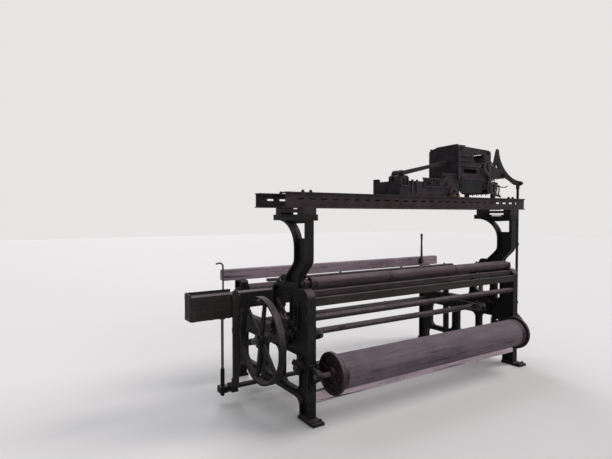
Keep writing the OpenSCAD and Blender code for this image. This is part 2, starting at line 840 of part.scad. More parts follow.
// Shelves for the shuttles between a back wall and a front board that leaves the top cell open
module drop_box() {
    color(timber) {
        for (k = [0 : cell_n - 1])
            block([-box_x, box_y, race_z - k * cell_h - board_t],
                  [-box_in, box_y + box_d, race_z - k * cell_h]);
        block([-box_x, box_y + box_d - board_t, drop_low + e], [-box_in, box_y + box_d, race_z + drop_back]);
        block([-box_x, box_y, drop_low + e], [-box_in, box_y + board_t, race_z - e]);
        block([-box_x, box_y + e, drop_low + e],
              [-box_x + board_t, box_y + box_d - e, race_z + drop_back - e]);
    }
}

// Iron slide bar and two uprights that hold the drop box to the sley's end
module drop_box_guide() {
    y = sley_y + beam_d;
    color(iron) {
        block([-box_x + 20, y, beam_bottom + 40], [-box_in + 130, y + 20, beam_bottom + 90]);
        for (x = [-box_x + 20, -box_in - 60])
            block([x, y, drop_low + 10], [x + 34, y + 20, race_z + drop_back - 6]);
    }
}

module drop_box_rod() {
    color(bright_steel) translate([-lift_x, lift_y, 0]) {
        translate([0, 0, rock_z - 55]) cylinder(h = drop_low - rock_z + 55, r = lift_rod_r);
        translate([0, 0, drop_low - 18]) cylinder(h = 18, r = lift_rod_r + 13);
    }
}

// Walls on the race board's right end, and the end plate that stops the shuttle
module right_shuttle_box() {
    top = race_z + cell_h;
    color(timber) {
        block([box_in + 45, box_y, race_z], [box_x - 10, box_y + board_t, top - 14]);
        block([box_in, box_y + box_d - board_t, race_z], [box_x - 10, box_y + box_d, top]);
        block([box_x - 10, box_y, beam_bottom + 8], [box_x, box_y + box_d, top]);
    }
}

stick_top = race_z + stick_up;

module picking_stick() {
    color(pale_timber) difference() {
        union() {
            block([stick_x - stick_w / 2, stick_y, stick_pin_z - 36],
                  [stick_x + stick_w / 2, stick_y + stick_t, stick_top - 20]);
            block([stick_x - stick_w / 3, stick_y + 3, stick_top - 21],
                  [stick_x + stick_w / 3, stick_y + stick_t - 3, stick_top]);
        }
        rod_y(stick_y - 1, stick_y + stick_t + 1, stick_x, stick_pin_z, 9 + fit);
    }
}

module left_picking_stick() {
    mirror([1, 0, 0]) picking_stick();
}

module right_picking_stick() {
    picking_stick();
}

// A hide band round the top of a picking stick
module picker() {
    z = stick_top - 78;
    a = stick_w / 2;
    color(hide) difference() {
        block([stick_x - a - 9, stick_y - 9, z], [stick_x + a + 9, stick_y + stick_t + 2.5, z + 44]);
        block([stick_x - a - gap, stick_y - gap, z - 1],
              [stick_x + a + gap, stick_y + stick_t + gap, z + 45]);
    }
}

module left_picker() {
    mirror([1, 0, 0]) picker();
}

module right_picker() {
    picker();
}

rest_y = edge_y + 96;
rest_z = frame_h + back_rest_r;

module back_rest_roller() {
    color(timber) {
        rod_x(-rim_in + 8, rim_in - 8, rest_y, rest_z, back_rest_r - gap);
        both_sides() rod_x(rim_in - 9, frame_x + 26, rest_y, rest_z, journal_r);
    }
}

module beam_brackets() {
    color(iron) both_sides() {
        difference() {
            union() {
                block([frame_x - 18, rest_y - 26, frame_h], [frame_x + 18, rest_y + 26, rest_z]);
                rod_x(frame_x - 18, frame_x + 18, rest_y, rest_z, 26);
            }
            rod_x(frame_x - 19, frame_x + 19, rest_y, rest_z, journal_r + fit);
        }
        difference() {
            union() {
                rod_x(frame_x - 20, frame_x + 20, warp_y, warp_z, gudgeon_r + 20);
                along_x(frame_x - 12, frame_x + 12) polygon([[edge_y, warp_z - 96], [edge_y, warp_z + 50],
                    [warp_y, warp_z + gudgeon_r + 18], [warp_y, warp_z - gudgeon_r - 18]]);
                block([frame_x - 26, edge_y - 14, warp_z - 110], [frame_x + 26, edge_y, warp_z + 64]);
            }
            rod_x(frame_x - 21, frame_x + 21, warp_y, warp_z, gudgeon_r + fit);
        }
    }
}

warp_y = -loom_d / 2 + flange_r;
gudgeon_r = 18;

module warp_beam() {
    end = flange_x - flange_w / 2 - gap;
    color(timber) {
        rod_x(-end, end, warp_y, warp_z, barrel_r);
        both_sides() rod_x(end - e, frame_x + 24, warp_y, warp_z, gudgeon_r);
    }
}

// Iron end discs with a rolled rim, a hub and five ribs on the outside
module warp_beam_flanges() {
    out = flange_x + flange_w / 2;
    color(dusty_iron) both_sides() difference() {
        union() {
            rod_x(flange_x - flange_w / 2, out, warp_y, warp_z, flange_r);
            rod_x(flange_x, out + 10, warp_y, warp_z, gudgeon_r + 30);
        }
        difference() {
            rod_x(out - 16, out + 1, warp_y, warp_z, flange_r - 22);
            rod_x(out - 17, out + 2, warp_y, warp_z, gudgeon_r + 29);
            translate([0, warp_y, warp_z]) for (k = [0 : 4]) rotate([k * 72, 0, 0])
                block([out - 17, -9, 0], [out - 4, 9, flange_r - 12]);
        }
        rod_x(flange_x - flange_w, out + 20, warp_y, warp_z, gudgeon_r + fit);
    }
}

module take_up_roller() {
    color(dusty_iron) {
        rod_x(-rim_in + 12, rim_in - 12, roller_y, takeup_z, takeup_r);
        rod_x(-frame_x - boss_half - 6, -rim_in + 13, roller_y, takeup_z, takeup_axle);
        rod_x(rim_in - 13, gear_x + gear_w * 0.7 + 6, roller_y, takeup_z, takeup_axle);
    }
}

module take_up_gear() {
    color(iron) difference() {
        union() {
            along_x(gear_x, gear_x + gear_w * 0.7) translate([roller_y, takeup_z])
                gear_shape(takeup_m, takeup_n, -90);
            rod_x(gear_x - 4, gear_x + gear_w * 0.7 + 2, roller_y, takeup_z, takeup_axle + 14);
        }
        rod_x(gear_x - 5, gear_x + gear_w * 0.7 + 3, roller_y, takeup_z, takeup_axle + fit);
    }
}

// The pinion that turns the take-up gear, in one casting with its ratchet disc and axle
module take_up_ratchet() {
    color(iron) {
        along_x(gear_x, gear_x + gear_w * 0.7) translate([roller_y, ratchet_z])
            gear_shape(takeup_m, ratchet_n, 90 + 180 / ratchet_n);
        along_x(gear_x + gear_w * 0.7 + 4, gear_x + gear_w * 0.7 + 16) translate([roller_y, ratchet_z])
            polygon([for (k = [0 : 35], p = [[0, 66], [0.85, 73]])
                let (a = (k + p[0]) * 10) p[1] * [cos(a), sin(a)]]);
        rod_x(frame_x - boss_half - 4, gear_x + gear_w * 0.7 + 22, roller_y, ratchet_z, ratchet_axle);
    }
}

module cloth_roller() {
    color(timber) {
        rod_x(-rim_in + 12, rim_in - 12, roller_y, cloth_z, cloth_r);
        both_sides() rod_x(rim_in - 13, frame_x + boss_half + 8, roller_y, cloth_z, journal_r);
    }
}

handle_x = rim_in - 70;
handle_z = front_h + breast_h / 2;

// Lever on a stud behind the breast beam
module starting_handle() {
    y = breast_y - 22;
    color(dusty_iron) difference() {
        union() {
            rod_y(y, y + 14, handle_x, handle_z, 24);
            along_y(y + 2, y + 12)
                polygon([[handle_x - 16, handle_z], [handle_x - 10, handle_z + handle_l - 110],
                         [handle_x + 10, handle_z + handle_l - 110], [handle_x + 16, handle_z]]);
            translate([handle_x, y + 7, handle_z + handle_l - 112]) cylinder(h = 100, r1 = 9, r2 = 14);
            translate([handle_x, y + 7, handle_z + handle_l - 14]) sphere(14);
        }
        rod_y(y - 1, y + 15, handle_x, handle_z, 9 + fit);
    }
}

// The stud of the starting handle, with the plate that screws to the breast beam
module handle_stud() {
    color(iron) {
        rod_y(breast_y - 26, breast_y, handle_x, handle_z, 9);
        block([handle_x - 32, breast_y - 6, handle_z - 32], [handle_x + 32, breast_y, handle_z + 32]);
    }
}

bed_y0 = post_y + 10;
bed_y1 = far_rail_y + 20;
bed_top = rail_top + bed_h;
bed_end = dobby_x + bed_l;
box_end = dobby_x + bed_box_l;
spar_z = rail_top + spar_up;
spar_top = spar_z + spar_h;
wall_x = dobby_x + wall_fwd;
wall_top = rail_top + wall_h;
plate_end = wall_x + wall_t + plate_l;
horn_axis_up = 230;
horn_z = rail_top + horn_axis_up;
horn_tilt = asin(rod_throw / horn_l);
horn_x = drive_rod_x - horn_l * cos(horn_tilt);
cyl_x = plate_end + 14;
cyl_z = spar_z - 2;
lever_fwd = 75;
lever_x = dobby_x + lever_fwd;
lever_y = bed_y0 + 100;
lever_z = bed_top + 64;
lever_w = 22;
jack_fwd = 320;
jack_x = wall_x + jack_fwd;
jack_z = rail_top + 292;
jack_y0 = (bed_y0 + bed_y1 - (jack_n - 1) * jack_step) / 2;

// Base box with the hand lever's bearing on it, two spars on legs, and hangers for the pattern cylinder
module dobby_bed() {
    leg = 46;
    cheek = 34;
    color(iron) difference() {
        union() {
            block([dobby_x, bed_y0, rail_top], [box_end, bed_y1, bed_top]);
            for (y = [lever_y - lever_w / 2 - 3 - cheek, lever_y + lever_w / 2 + 3])
                along_y(y, y + cheek) union() {
                    slab(lever_x - 62, bed_top - e, lever_x + 74, bed_top + 52, [0, 0, 18, 26]);
                    translate([lever_x, lever_z]) circle(30);
                }
            rod_y(lever_y - lever_w, lever_y + lever_w, lever_x, lever_z, 10);
            block([dobby_x, bed_y1 - 48, bed_top - e], [dobby_x + 36, bed_y1, bed_top + 26]);
            for (y = [bed_y0, bed_y1 - spar_w]) {
                block([box_end - e, y, spar_z], [bed_end, y + spar_w, spar_top]);
                for (x = [wall_x - 10, bed_end - leg])
                    block([x, y, rail_top], [x + leg, y + spar_w, spar_z + e]);
                block([cyl_x - 30, y, cyl_z - 26], [cyl_x + 30, y + spar_w, spar_z + e]);
            }
            block([box_end - e, bed_y0 + 4, rail_top], [wall_x, bed_y0 + spar_w - 4, spar_z + e]);
            for (x = [box_end + 130, wall_x + 40]) block([x, bed_y0 + spar_w - e, spar_z + 10],
                                                         [x + 30, bed_y1 - spar_w + e, spar_z + 40]);
        }
        block([dobby_x + 14, bed_y0 + 14, rail_top - 1], [box_end - 14, bed_y1 - 14, bed_top - 14]);
        rod_y(bed_y0 - 1, bed_y1 + 1, cyl_x, cyl_z, 12 + fit);
    }
}

module side_plate() {
    top = wall_top - 12;
    difference() {
        union() {
            polygon([[wall_x + wall_t - e, spar_top], [wall_x + wall_t - e, top], [plate_end - 30, top - 16],
                [plate_end, top - 46], [plate_end, horn_z + 92], [horn_x - 16, horn_z + 34],
                [horn_x, horn_z - 38], [plate_end, horn_z - 52], [plate_end, spar_top]]);
            translate([horn_x, horn_z]) circle(38);
        }
        slab(wall_x + 232, jack_z + 32, plate_end - 104, top - 62, [14, 14, 14, 14]);
        slab(wall_x + 90, jack_z - 72, jack_x - 38, jack_z - 32, [14, 14, 14, 14]);
        translate([horn_x, horn_z]) circle(16 + fit);
        translate([jack_x, jack_z]) circle(14 + fit);
    }
}

// End wall, two pierced side plates, the bars that tie them and a box on the near spar
module dobby_end_frame() {
    color(iron) {
        along_x(wall_x, wall_x + wall_t)
            polygon([[bed_y0, spar_top], [bed_y0, wall_top], [bed_y0 + 230, wall_top - 5],
                     [bed_y0 + 294, wall_top - 24], [bed_y1, wall_top - 40], [bed_y1, spar_top]]);
        block([wall_x + wall_t - e, bed_y0, wall_top - 12], [wall_x + 120, bed_y0 + 230, wall_top - 5]);
        for (y = [bed_y0, bed_y1 - plate_t]) along_y(y, y + plate_t) side_plate();
        for (p = [[wall_x + 60, wall_top - 40], [plate_end - 40, wall_top - 50], [wall_x + 60, spar_top + 16],
                  [plate_end - 40, spar_top + 16]])
            rod_y(bed_y0 + 1, bed_y1 - 1, p[0], p[1], 8);
        difference() {
            block([wall_x - 190, bed_y0, spar_top], [wall_x + e, bed_y0 + 84, spar_top + 54]);
            block([wall_x - 176, bed_y0 - 1, spar_top + 12], [wall_x - 14, bed_y0 + 8, spar_top + 42]);
        }
    }
}

module jack_shaft() {
    color(bright_steel) rod_y(bed_y0 - 6, bed_y1 + 6, jack_x, jack_z, 14);
}

// One jack lever: a hub, a long arm with a hooked end and a tail with a finger
module jack(y, tilt) {
    tail = 176;
    translate([jack_x, y, jack_z]) rotate([0, tilt, 0]) difference() {
        along_y(-jack_t / 2, jack_t / 2) union() {
            circle(26);
            polygon([[6 - tail, 6], [-tail, -10], [10 - tail, -24], [0, -20], [150, -6], [jack_l - 34, 12],
                     [jack_l - 8, -16], [jack_l, 6], [jack_l - 20, 44], [jack_l - 60, 40],
                     [120, 26], [20, 22], [-10, 24]]);
            polygon([[6 - tail, -16], [16 - tail, -52], [28 - tail, -52], [22 - tail, -16]]);
        }
        rod_y(-jack_t, jack_t, 0, 0, 14 + fit);
    }
}

module raised_jacks() {
    color(dusty_iron) for (k = [0 : 2 : jack_n - 1]) jack(jack_y0 + k * jack_step, 5);
}

module lowered_jacks() {
    color(dusty_iron) for (k = [1 : 2 : jack_n - 1]) jack(jack_y0 + k * jack_step, -5);
}

// Eight-sided barrel with rows of pegs
module pattern_cylinder() {
    y0 = bed_y0 + spar_w + 12;
    y1 = bed_y1 - spar_w - 12;
    color(timber) {
        translate([cyl_x, y0, cyl_z]) rotate([-90, 22.5, 0])
            cylinder(h = y1 - y0, r = cylinder_r - 10, $fn = 8);
        rod_y(bed_y0 - 4, bed_y1 + 4, cyl_x, cyl_z, 12);
        for (k = [0 : 7], j = [0 : 4]) translate([cyl_x, y0 + 24 + j * (y1 - y0 - 48) / 4, cyl_z])
            rotate([0, k * 45, 0]) cylinder(h = cylinder_r, r = 5, $fn = 16);
    }
}

// Long hand lever that slopes up from its bearing to the end wall
module lever_arm() {
    color(dusty_iron) translate([lever_x, lever_y - lever_w / 2, lever_z]) rotate([0, -lever_tilt, 0])
        difference() {
            union() {
                along_y(0, lever_w)
                    polygon([[0, -19], [0, 19], [lever_l - 8, 15], [lever_l, 9], [lever_l, -13], [8, -19]]);
                rod_y(0, lever_w, 0, 0, 24);
            }
            rod_y(-1, lever_w + 1, 0, 0, 10 + fit);
        }
}

rod_y0 = bottom_y + 9;

// Horn-shaped bell crank on its own shaft, with the pin that carries the connecting rod
module horn_arm() {
    tip = [horn_l * cos(horn_tilt), -rod_throw];
    color(iron) translate([horn_x, 0, horn_z]) {
        along_y(bottom_y - 9, bottom_y + 9) difference() {
            union() {
                circle(36);
                translate(tip) circle(24);
                polygon(concat([[-30, 20], [-16, 110], [26, horn_up - 18], [40, horn_up], [54, horn_up - 6]],
                    [for (a = [0 : 9 : 90]) [62 + (tip[0] - 62) * (1 - cos(a)),
                                             horn_up - 20 - (horn_up - 42 - tip[1]) * pow(sin(a), 1.2)]],
                    [tip - [0, 23], tip + [-96, -20], tip + [-190, 22], tip + [-300, 62],
                     [60, -12], [20, -30], [-20, -30]]));
            }
            polygon([[4, 60], [64, 44], [34, 150]]);
        }
        rod_y(bed_y0 - 4, bed_y1 + 4, 0, 0, 16);
        rod_y(bottom_y + 8, rod_y0 + 32, tip[0], tip[1], 10);
    }
}

// Vertical rod from the horn arm down to the crank on the bottom shaft
module drive_rod() {
    socket = 60;                           // the square end under the upper eye
    top = horn_z - rod_throw;
    low = bottom_z - rod_throw;
    y = rod_y0 + 15;
    color(dusty_iron) difference() {
        union() {
            translate([drive_rod_x, y, low + 30]) cylinder(h = top - low - 30 - socket / 3, r = drive_rod_r);
            rod_y(y - 13, y + 13, drive_rod_x, top, 22);
            block([drive_rod_x - 13, y - 13, top - socket], [drive_rod_x + 13, y + 13, top]);
            rod_x(drive_rod_x - 9, drive_rod_x + 9, bottom_y, low, 22);
            block([drive_rod_x - 9, bottom_y - 10, low], [drive_rod_x + 9, y + 12, low + 44]);
            rod_x(disc_x + 17, drive_rod_x + 12, bottom_y, low, 12);
        }
        rod_y(y - 20, y + 20, drive_rod_x, top, 10 + fit);
    }
}

left_side_frame();
right_side_frame();
left_front_frame();
right_front_frame();
left_arch_post();
right_arch_post();
rail_packings();
near_top_rail();
far_top_rail();
breast_beam();
back_angle_rail();
back_board_rail();
back_tube();
back_foot_rail();
front_foot_rail();
frame_bolts();
rail_bolts();
crankshaft();
handwheel();
crank_pinion();
left_connecting_arm();
right_connecting_arm();
bottom_shaft();
bottom_shaft_gear();
picking_tappets();
rod_crank();
rocking_shaft();
left_sword();
right_sword();
sley_beam();
race_board();
sley_cap();
sley_cap_brackets();
drop_box();
drop_box_guide();
drop_box_rod();
right_shuttle_box();
left_picking_stick();
right_picking_stick();
left_picker();
right_picker();
back_rest_roller();
beam_brackets();
warp_beam();
warp_beam_flanges();
take_up_roller();
take_up_gear();
take_up_ratchet();
cloth_roller();
starting_handle();
handle_stud();
dobby_bed();
dobby_end_frame();
jack_shaft();
raised_jacks();
lowered_jacks();
pattern_cylinder();
lever_arm();
horn_arm();
drive_rod();
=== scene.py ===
# %% [markdown]
# # A power loom, dressed over its CAD model
# The imported model gives every casting, shaft and board its exact place. This lesson adds what a CAD
# model leaves out: dust, rust, grain, and the many small parts that bolt a loom together.

# %% Load the frame
import math
import random

import bmesh
import bpy
from mathutils import Matrix, Vector


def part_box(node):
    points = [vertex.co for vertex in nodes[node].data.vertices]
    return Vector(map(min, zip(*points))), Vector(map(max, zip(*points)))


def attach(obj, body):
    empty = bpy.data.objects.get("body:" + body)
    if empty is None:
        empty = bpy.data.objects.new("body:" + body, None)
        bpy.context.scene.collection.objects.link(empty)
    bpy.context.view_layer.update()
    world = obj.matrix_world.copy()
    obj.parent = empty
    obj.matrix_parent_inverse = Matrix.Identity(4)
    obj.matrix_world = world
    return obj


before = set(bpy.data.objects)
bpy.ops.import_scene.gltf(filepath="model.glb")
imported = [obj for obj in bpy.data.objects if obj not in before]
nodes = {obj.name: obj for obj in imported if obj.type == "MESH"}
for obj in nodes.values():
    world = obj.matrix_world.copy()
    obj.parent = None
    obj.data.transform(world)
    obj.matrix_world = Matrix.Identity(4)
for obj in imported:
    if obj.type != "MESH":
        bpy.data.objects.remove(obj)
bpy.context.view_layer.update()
scene = bpy.context.scene
scene.view_settings.view_transform = "Standard"

# %% [markdown]
# ## Camera
# The room's parallel lines give the lens and the place of the eye: a short lens at eye height, to the
# left of the loom on its warp side, turned a third of a right angle. A camera that is measured, and not
# moved until it looks right, puts each part where it is seen in the picture.

# %% Camera
EYE = Vector((-3.067, -3.303, 1.50))
YAW, PITCH = math.radians(32.75), math.radians(1.76)
LENS_MM, SENSOR_MM = 27.45, 36.0

eye_data = bpy.data.cameras.new("Eye")
eye_data.lens, eye_data.sensor_width = LENS_MM, SENSOR_MM
eye_data.clip_start, eye_data.clip_end = 0.05, 100.0
eye = bpy.data.objects.new("Eye", eye_data)
eye.location = EYE
look = Vector((math.sin(YAW) * math.cos(PITCH), math.cos(YAW) * math.cos(PITCH), -math.sin(PITCH)))
eye.rotation_euler = look.to_track_quat("-Z", "Y").to_euler()
scene.collection.objects.link(eye)
scene.camera = eye
print("camera looks along", tuple(round(v, 3) for v in look))

# %% [markdown]
# ## Floor, backdrop and light
# Looms stand in halls lit by tall windows. Three broad soft suns stand for the windows on the right,
# behind the loom and across the aisle, and the sky fills the rest. The pale backdrop is a colour of the
# world that only camera, glossy and transmission rays see, so it lights the iron in reflections alone.

# %% Floor and backdrop
FLOOR_HALF = 30.0
PALE = (0.80, 0.785, 0.78, 1.0)


def stage_plane():
    mesh = bpy.data.meshes.new("Hall_floor")
    h = FLOOR_HALF
    mesh.from_pydata([(-h, -h, 0), (h, -h, 0), (h, h, 0), (-h, h, 0)], [], [(0, 1, 2, 3)])
    floor = bpy.data.objects.new("Hall_floor", mesh)
    scene.collection.objects.link(floor)
    paint = bpy.data.materials.new("Pale floor")
    paint.use_nodes = True
    shader = paint.node_tree.nodes["Principled BSDF"]
    shader.inputs["Base Color"].default_value = PALE
    shader.inputs["Roughness"].default_value = 0.85
    mesh.materials.append(paint)
    print("floor:", 2 * h, "m square")


stage_plane()

# %% World seen by the camera
WORLD_LIGHT, SKY_TINT = 0.32, (0.94, 0.96, 1.0, 1.0)

world = bpy.data.worlds.new("Hall")
world.use_nodes = True
scene.world = world
wt = world.node_tree
sky = wt.nodes["Background"]
sky.inputs["Color"].default_value = SKY_TINT
sky.inputs["Strength"].default_value = WORLD_LIGHT
wall = wt.nodes.new("ShaderNodeBackground")
wall.inputs["Color"].default_value = PALE
ray = wt.nodes.new("ShaderNodeLightPath")
either, seen = wt.nodes.new("ShaderNodeMath"), wt.nodes.new("ShaderNodeMath")
either.operation = seen.operation = "MAXIMUM"
chosen = wt.nodes.new("ShaderNodeMixShader")
for source, target in (
        (ray.outputs["Is Camera Ray"], either.inputs[0]), (ray.outputs["Is Glossy Ray"], either.inputs[1]),
        (either.outputs[0], seen.inputs[0]), (ray.outputs["Is Transmission Ray"], seen.inputs[1]),
        (seen.outputs[0], chosen.inputs[0]), (sky.outputs[0], chosen.inputs[1]),
        (wall.outputs[0], chosen.inputs[2]), (chosen.outputs[0], wt.nodes["World Output"].inputs["Surface"])):
    wt.links.new(source, target)
print("world light:", WORLD_LIGHT)


# %% Lamps
def window_light(name, towards, strength, spread, tint):
    """A broad, soft sun: its light has no falloff, so a long machine is lit alike from end to end."""
    lamp = bpy.data.lights.new(name, "SUN")
    lamp.energy, lamp.angle, lamp.color = strength, math.radians(spread), tint
    holder = bpy.data.objects.new(name, lamp)
    holder.rotation_euler = (-Vector(towards)).to_track_quat("-Z", "Y").to_euler()
    scene.collection.objects.link(holder)


window_light("Right windows", (0.80, -0.22, 0.62), 1.65, 28, (1.0, 0.97, 0.95))
window_light("Back windows", (0.25, 0.85, 0.55), 1.45, 35, (0.97, 0.97, 1.0))
window_light("Aisle windows", (0.20, -0.93, 0.30), 0.85, 40, (1.0, 0.97, 0.98))
print("lamps:", [lamp.name for lamp in bpy.data.lights])

# %% [markdown]
# ## Shared finishes as node groups
# Dust, rust, worn edges, the skin of a casting and the grain of timber show on many parts; the dust also
# paints light on upward faces. Each is one shader group with named inputs, placed in every material that
# needs it with its own values. They read Object coordinates, which are metres of the loom itself, so a
# pattern has its real size.


# %% Helpers for node trees
SOCKETS = {float: "NodeSocketFloat", int: "NodeSocketInt", tuple: "NodeSocketVector",
           type(None): "NodeSocketMaterial"}


def name_inputs(tree, inputs):
    """The type of each value says which kind of socket it needs."""
    for label, value in inputs.items():
        socket = tree.interface.new_socket(label, in_out="INPUT", socket_type=SOCKETS[type(value)])
        if value is not None:
            socket.default_value = value


def shader_group(name, inputs, outputs):
    group = bpy.data.node_groups.new(name, "ShaderNodeTree")
    name_inputs(group, inputs)
    for label in outputs:
        group.interface.new_socket(label, in_out="OUTPUT", socket_type="NodeSocketFloat")
    return group, group.nodes.new("NodeGroupInput").outputs, group.nodes.new("NodeGroupOutput")


def put(tree, kind, **settings):
    node = tree.nodes.new(kind)
    for key, value in settings.items():
        setattr(node, key, value)
    return node


def feed(tree, node, **sockets):
    """Sets inputs by name, or by number as n0, n1: a socket is linked, a plain value is written."""
    for key, value in sockets.items():
        numbered = key[0] == "n" and key[1:].isdigit()
        socket = node.inputs[int(key[1:]) if numbered else key.replace("_", " ")]
        if isinstance(value, bpy.types.NodeSocket):
            tree.links.new(value, socket)
        else:
            socket.default_value = value
    return node


def remap(tree, value, low, high, to_low=0.0, to_high=1.0):
    node = put(tree, "ShaderNodeMapRange", interpolation_type="SMOOTHSTEP")
    feed(tree, node, Value=value, From_Min=low, From_Max=high, To_Min=to_low, To_Max=to_high)
    return node.outputs["Result"]


def reckon(tree, kind, a, b, clamp=False):
    node = put(tree, "ShaderNodeMath", operation=kind, use_clamp=clamp)
    return feed(tree, node, n0=a, n1=b).outputs[0]


def plus(tree, a, b):
    return reckon(tree, "ADD", a, b)


def minus(tree, a, b):
    return reckon(tree, "SUBTRACT", a, b)


def times(tree, a, b, clamp=False):
    return reckon(tree, "MULTIPLY", a, b, clamp)


def noise(tree, vector, scale, detail, rough, twist=0.0):
    node = put(tree, "ShaderNodeTexNoise")
    feed(tree, node, Vector=vector, Scale=scale, Detail=detail, Roughness=rough, Distortion=twist)
    return node.outputs["Fac"]


def blend_colour(tree, factor, a, b):
    """A colour mix uses inputs 0, 6 and 7 and output 2 of its node."""
    return feed(tree, put(tree, "ShaderNodeMix", data_type="RGBA"), n0=factor, n6=a, n7=b).outputs[2]


def loom_point(tree):
    return put(tree, "ShaderNodeTexCoord").outputs["Object"]


# %% [markdown]
# ### Dust and painted top light
# Lint and plaster dust settle on whatever faces up, thickest on broad flats and thin on a slope. Its pale
# mauve also stands for painted light on tops and top edges. The normal's upward part is the simplest measure
# of that, broken up by two noises so the edge is ragged.


# %% Dust and painted top light group
def dust_and_top_light_group():
    g, into, out = shader_group("Settled dust and painted top light", {"Amount": 0.6, "Patch scale": 9.0}, ["Mask"])
    here = loom_point(g)
    up = feed(g, put(g, "ShaderNodeSeparateXYZ"), n0=put(g, "ShaderNodeNewGeometry").outputs["Normal"])
    flat = remap(g, up.outputs["Z"], 0.05, 0.75)
    patches = noise(g, here, into["Patch scale"], 5.0, 0.7)
    specks = noise(g, here, 160.0, 3.0, 0.7)
    broken = plus(g, times(g, patches, 1.3), times(g, specks, 0.5))
    ragged = remap(g, broken, 0.55, 1.15)
    film = times(g, remap(g, patches, 0.45, 0.8), 0.07)
    top = times(g, flat, plus(g, times(g, ragged, 0.7), 0.3))
    feed(g, out, Mask=times(g, plus(g, top, film), into["Amount"], True))
    return g


DUST_AND_TOP_LIGHT = dust_and_top_light_group()


# %% [markdown]
# ### Rust, casting skin and worn edges
# Rust comes as blooms with ragged rims. A casting has a pebbled skin from the sand of its mould. Edges
# are rubbed to a smoother, brighter metal, which the Bevel node finds: where its rounded normal leaves
# the true one, there is an edge.


# %% Rust group
def rust_group():
    g, into, out = shader_group("Rust bloom", {"Scale": 6.0, "Cover": 0.4}, ["Mask", "Tone"])
    here = loom_point(g)
    bloom = noise(g, here, into["Scale"], 9.0, 0.68, 0.3)
    low = minus(g, 0.72, times(g, into["Cover"], 0.45))
    high = plus(g, low, 0.13)
    feed(g, out, Mask=remap(g, bloom, low, high))
    feed(g, out, Tone=noise(g, here, 55.0, 5.0, 0.7))
    return g


RUST = rust_group()


# %% Casting skin group
def casting_group():
    g, into, out = shader_group("Casting skin", {"Grain scale": 260.0}, ["Height", "Mottle"])
    here = loom_point(g)
    grain = noise(g, here, into["Grain scale"], 3.0, 0.55)
    waves = noise(g, here, 22.0, 3.0, 0.5)
    pits = remap(g, noise(g, here, 90.0, 2.0, 0.5), 0.30, 0.42)
    height = plus(g, times(g, grain, 0.35), times(g, waves, 0.8))
    feed(g, out, Height=plus(g, height, times(g, pits, 0.3)))
    feed(g, out, Mottle=remap(g, noise(g, here, 11.0, 6.0, 0.65), 0.30, 0.70))
    return g


CASTING = casting_group()


# %% Worn edge group
def edge_group():
    g, into, out = shader_group("Worn edge", {"Radius": 0.004, "Strength": 1.0}, ["Mask"])
    rounded = feed(g, put(g, "ShaderNodeBevel", samples=4), Radius=into["Radius"])
    match = feed(g, put(g, "ShaderNodeVectorMath", operation="DOT_PRODUCT"), n0=rounded.outputs[0],
                 n1=put(g, "ShaderNodeNewGeometry").outputs["Normal"])
    edge = remap(g, minus(g, 1.0, match.outputs["Value"]), 0.02, 0.22)
    here = loom_point(g)
    rubbed = remap(g, noise(g, here, 30.0, 5.0, 0.7), 0.35, 0.65)
    feed(g, out, Mask=times(g, times(g, edge, rubbed), into["Strength"], True))
    return g


EDGE = edge_group()


# %% [markdown]
# ### Timber grain
# Old bare wood shows long fibres, darker growth bands and thin cracks, all along the plank. Stretching
# the coordinates across the grain turns a round noise into fibres, so one group serves a plank along the
# loom and an upright stick: only its Stretch changes.


# %% Timber group
def timber_group():
    g, into, out = shader_group("Timber grain", {"Stretch": (1.0, 22.0, 22.0), "Seed": 0.0},
                                ["Tone", "Crack", "Height"])
    moved = feed(g, put(g, "ShaderNodeVectorMath", operation="ADD"), n0=loom_point(g), n1=into["Seed"])
    along = feed(g, put(g, "ShaderNodeVectorMath", operation="MULTIPLY"), n0=moved.outputs[0],
                 n1=into["Stretch"])
    bands = noise(g, along.outputs[0], 1.1, 3.0, 0.55, 1.2)
    fibres = noise(g, along.outputs[0], 9.0, 5.0, 0.75)
    tone = plus(g, times(g, bands, 0.65), times(g, fibres, 0.45))
    split = remap(g, noise(g, along.outputs[0], 2.3, 2.0, 0.4, 0.6), 0.345, 0.315)
    feed(g, out, Tone=remap(g, tone, 0.32, 0.78))
    feed(g, out, Crack=split)
    feed(g, out, Height=minus(g, fibres, times(g, split, 0.9)))
    return g


TIMBER = timber_group()
print("shader groups:", [g.name for g in bpy.data.node_groups])

# %% [markdown]
# ## Metals
# The whole loom is one family of iron: dark castings with an oily skin, rolled rails gone brown, and
# turned shafts that keep a dull shine. One builder places the groups in a material, and each metal gives
# its own colours and amounts.

# %% Metal builder
# A pale mauve on upward faces: settled dust, and also painted light on tops and top edges.
DUST_AND_TOP_LIGHT_COLOUR = (0.190, 0.150, 0.168, 1.0)
OLD_RUST, RUBBED_IRON, IRON_RELIEF, DUSTY_ROUGHNESS = 0.45, 2.4, 0.0009, 0.92


def placed(tree, group, **values):
    return feed(tree, put(tree, "ShaderNodeGroup", node_tree=group), **values).outputs


def shade(colour, factor=1.0):
    """The colour made darker or brighter, with its alpha."""
    return tuple(factor * c for c in colour) + (1.0,)


def new_finish(name, shine, metallic=0.0):
    m = bpy.data.materials.new(name)
    m.use_nodes = True
    shader = m.node_tree.nodes["Principled BSDF"]
    shader.inputs["Metallic"].default_value = metallic
    shader.inputs["Specular IOR Level"].default_value = shine
    return m, m.node_tree, shader


def finish_with(tree, shader, colour, roughness, height, depth):
    """Colour, roughness and bump into the material's own shader."""
    bump = put(tree, "ShaderNodeBump")
    feed(tree, bump, Height=height, Strength=1.0, Distance=depth)
    feed(tree, shader, Base_Color=colour, Roughness=roughness, Normal=bump.outputs[0])
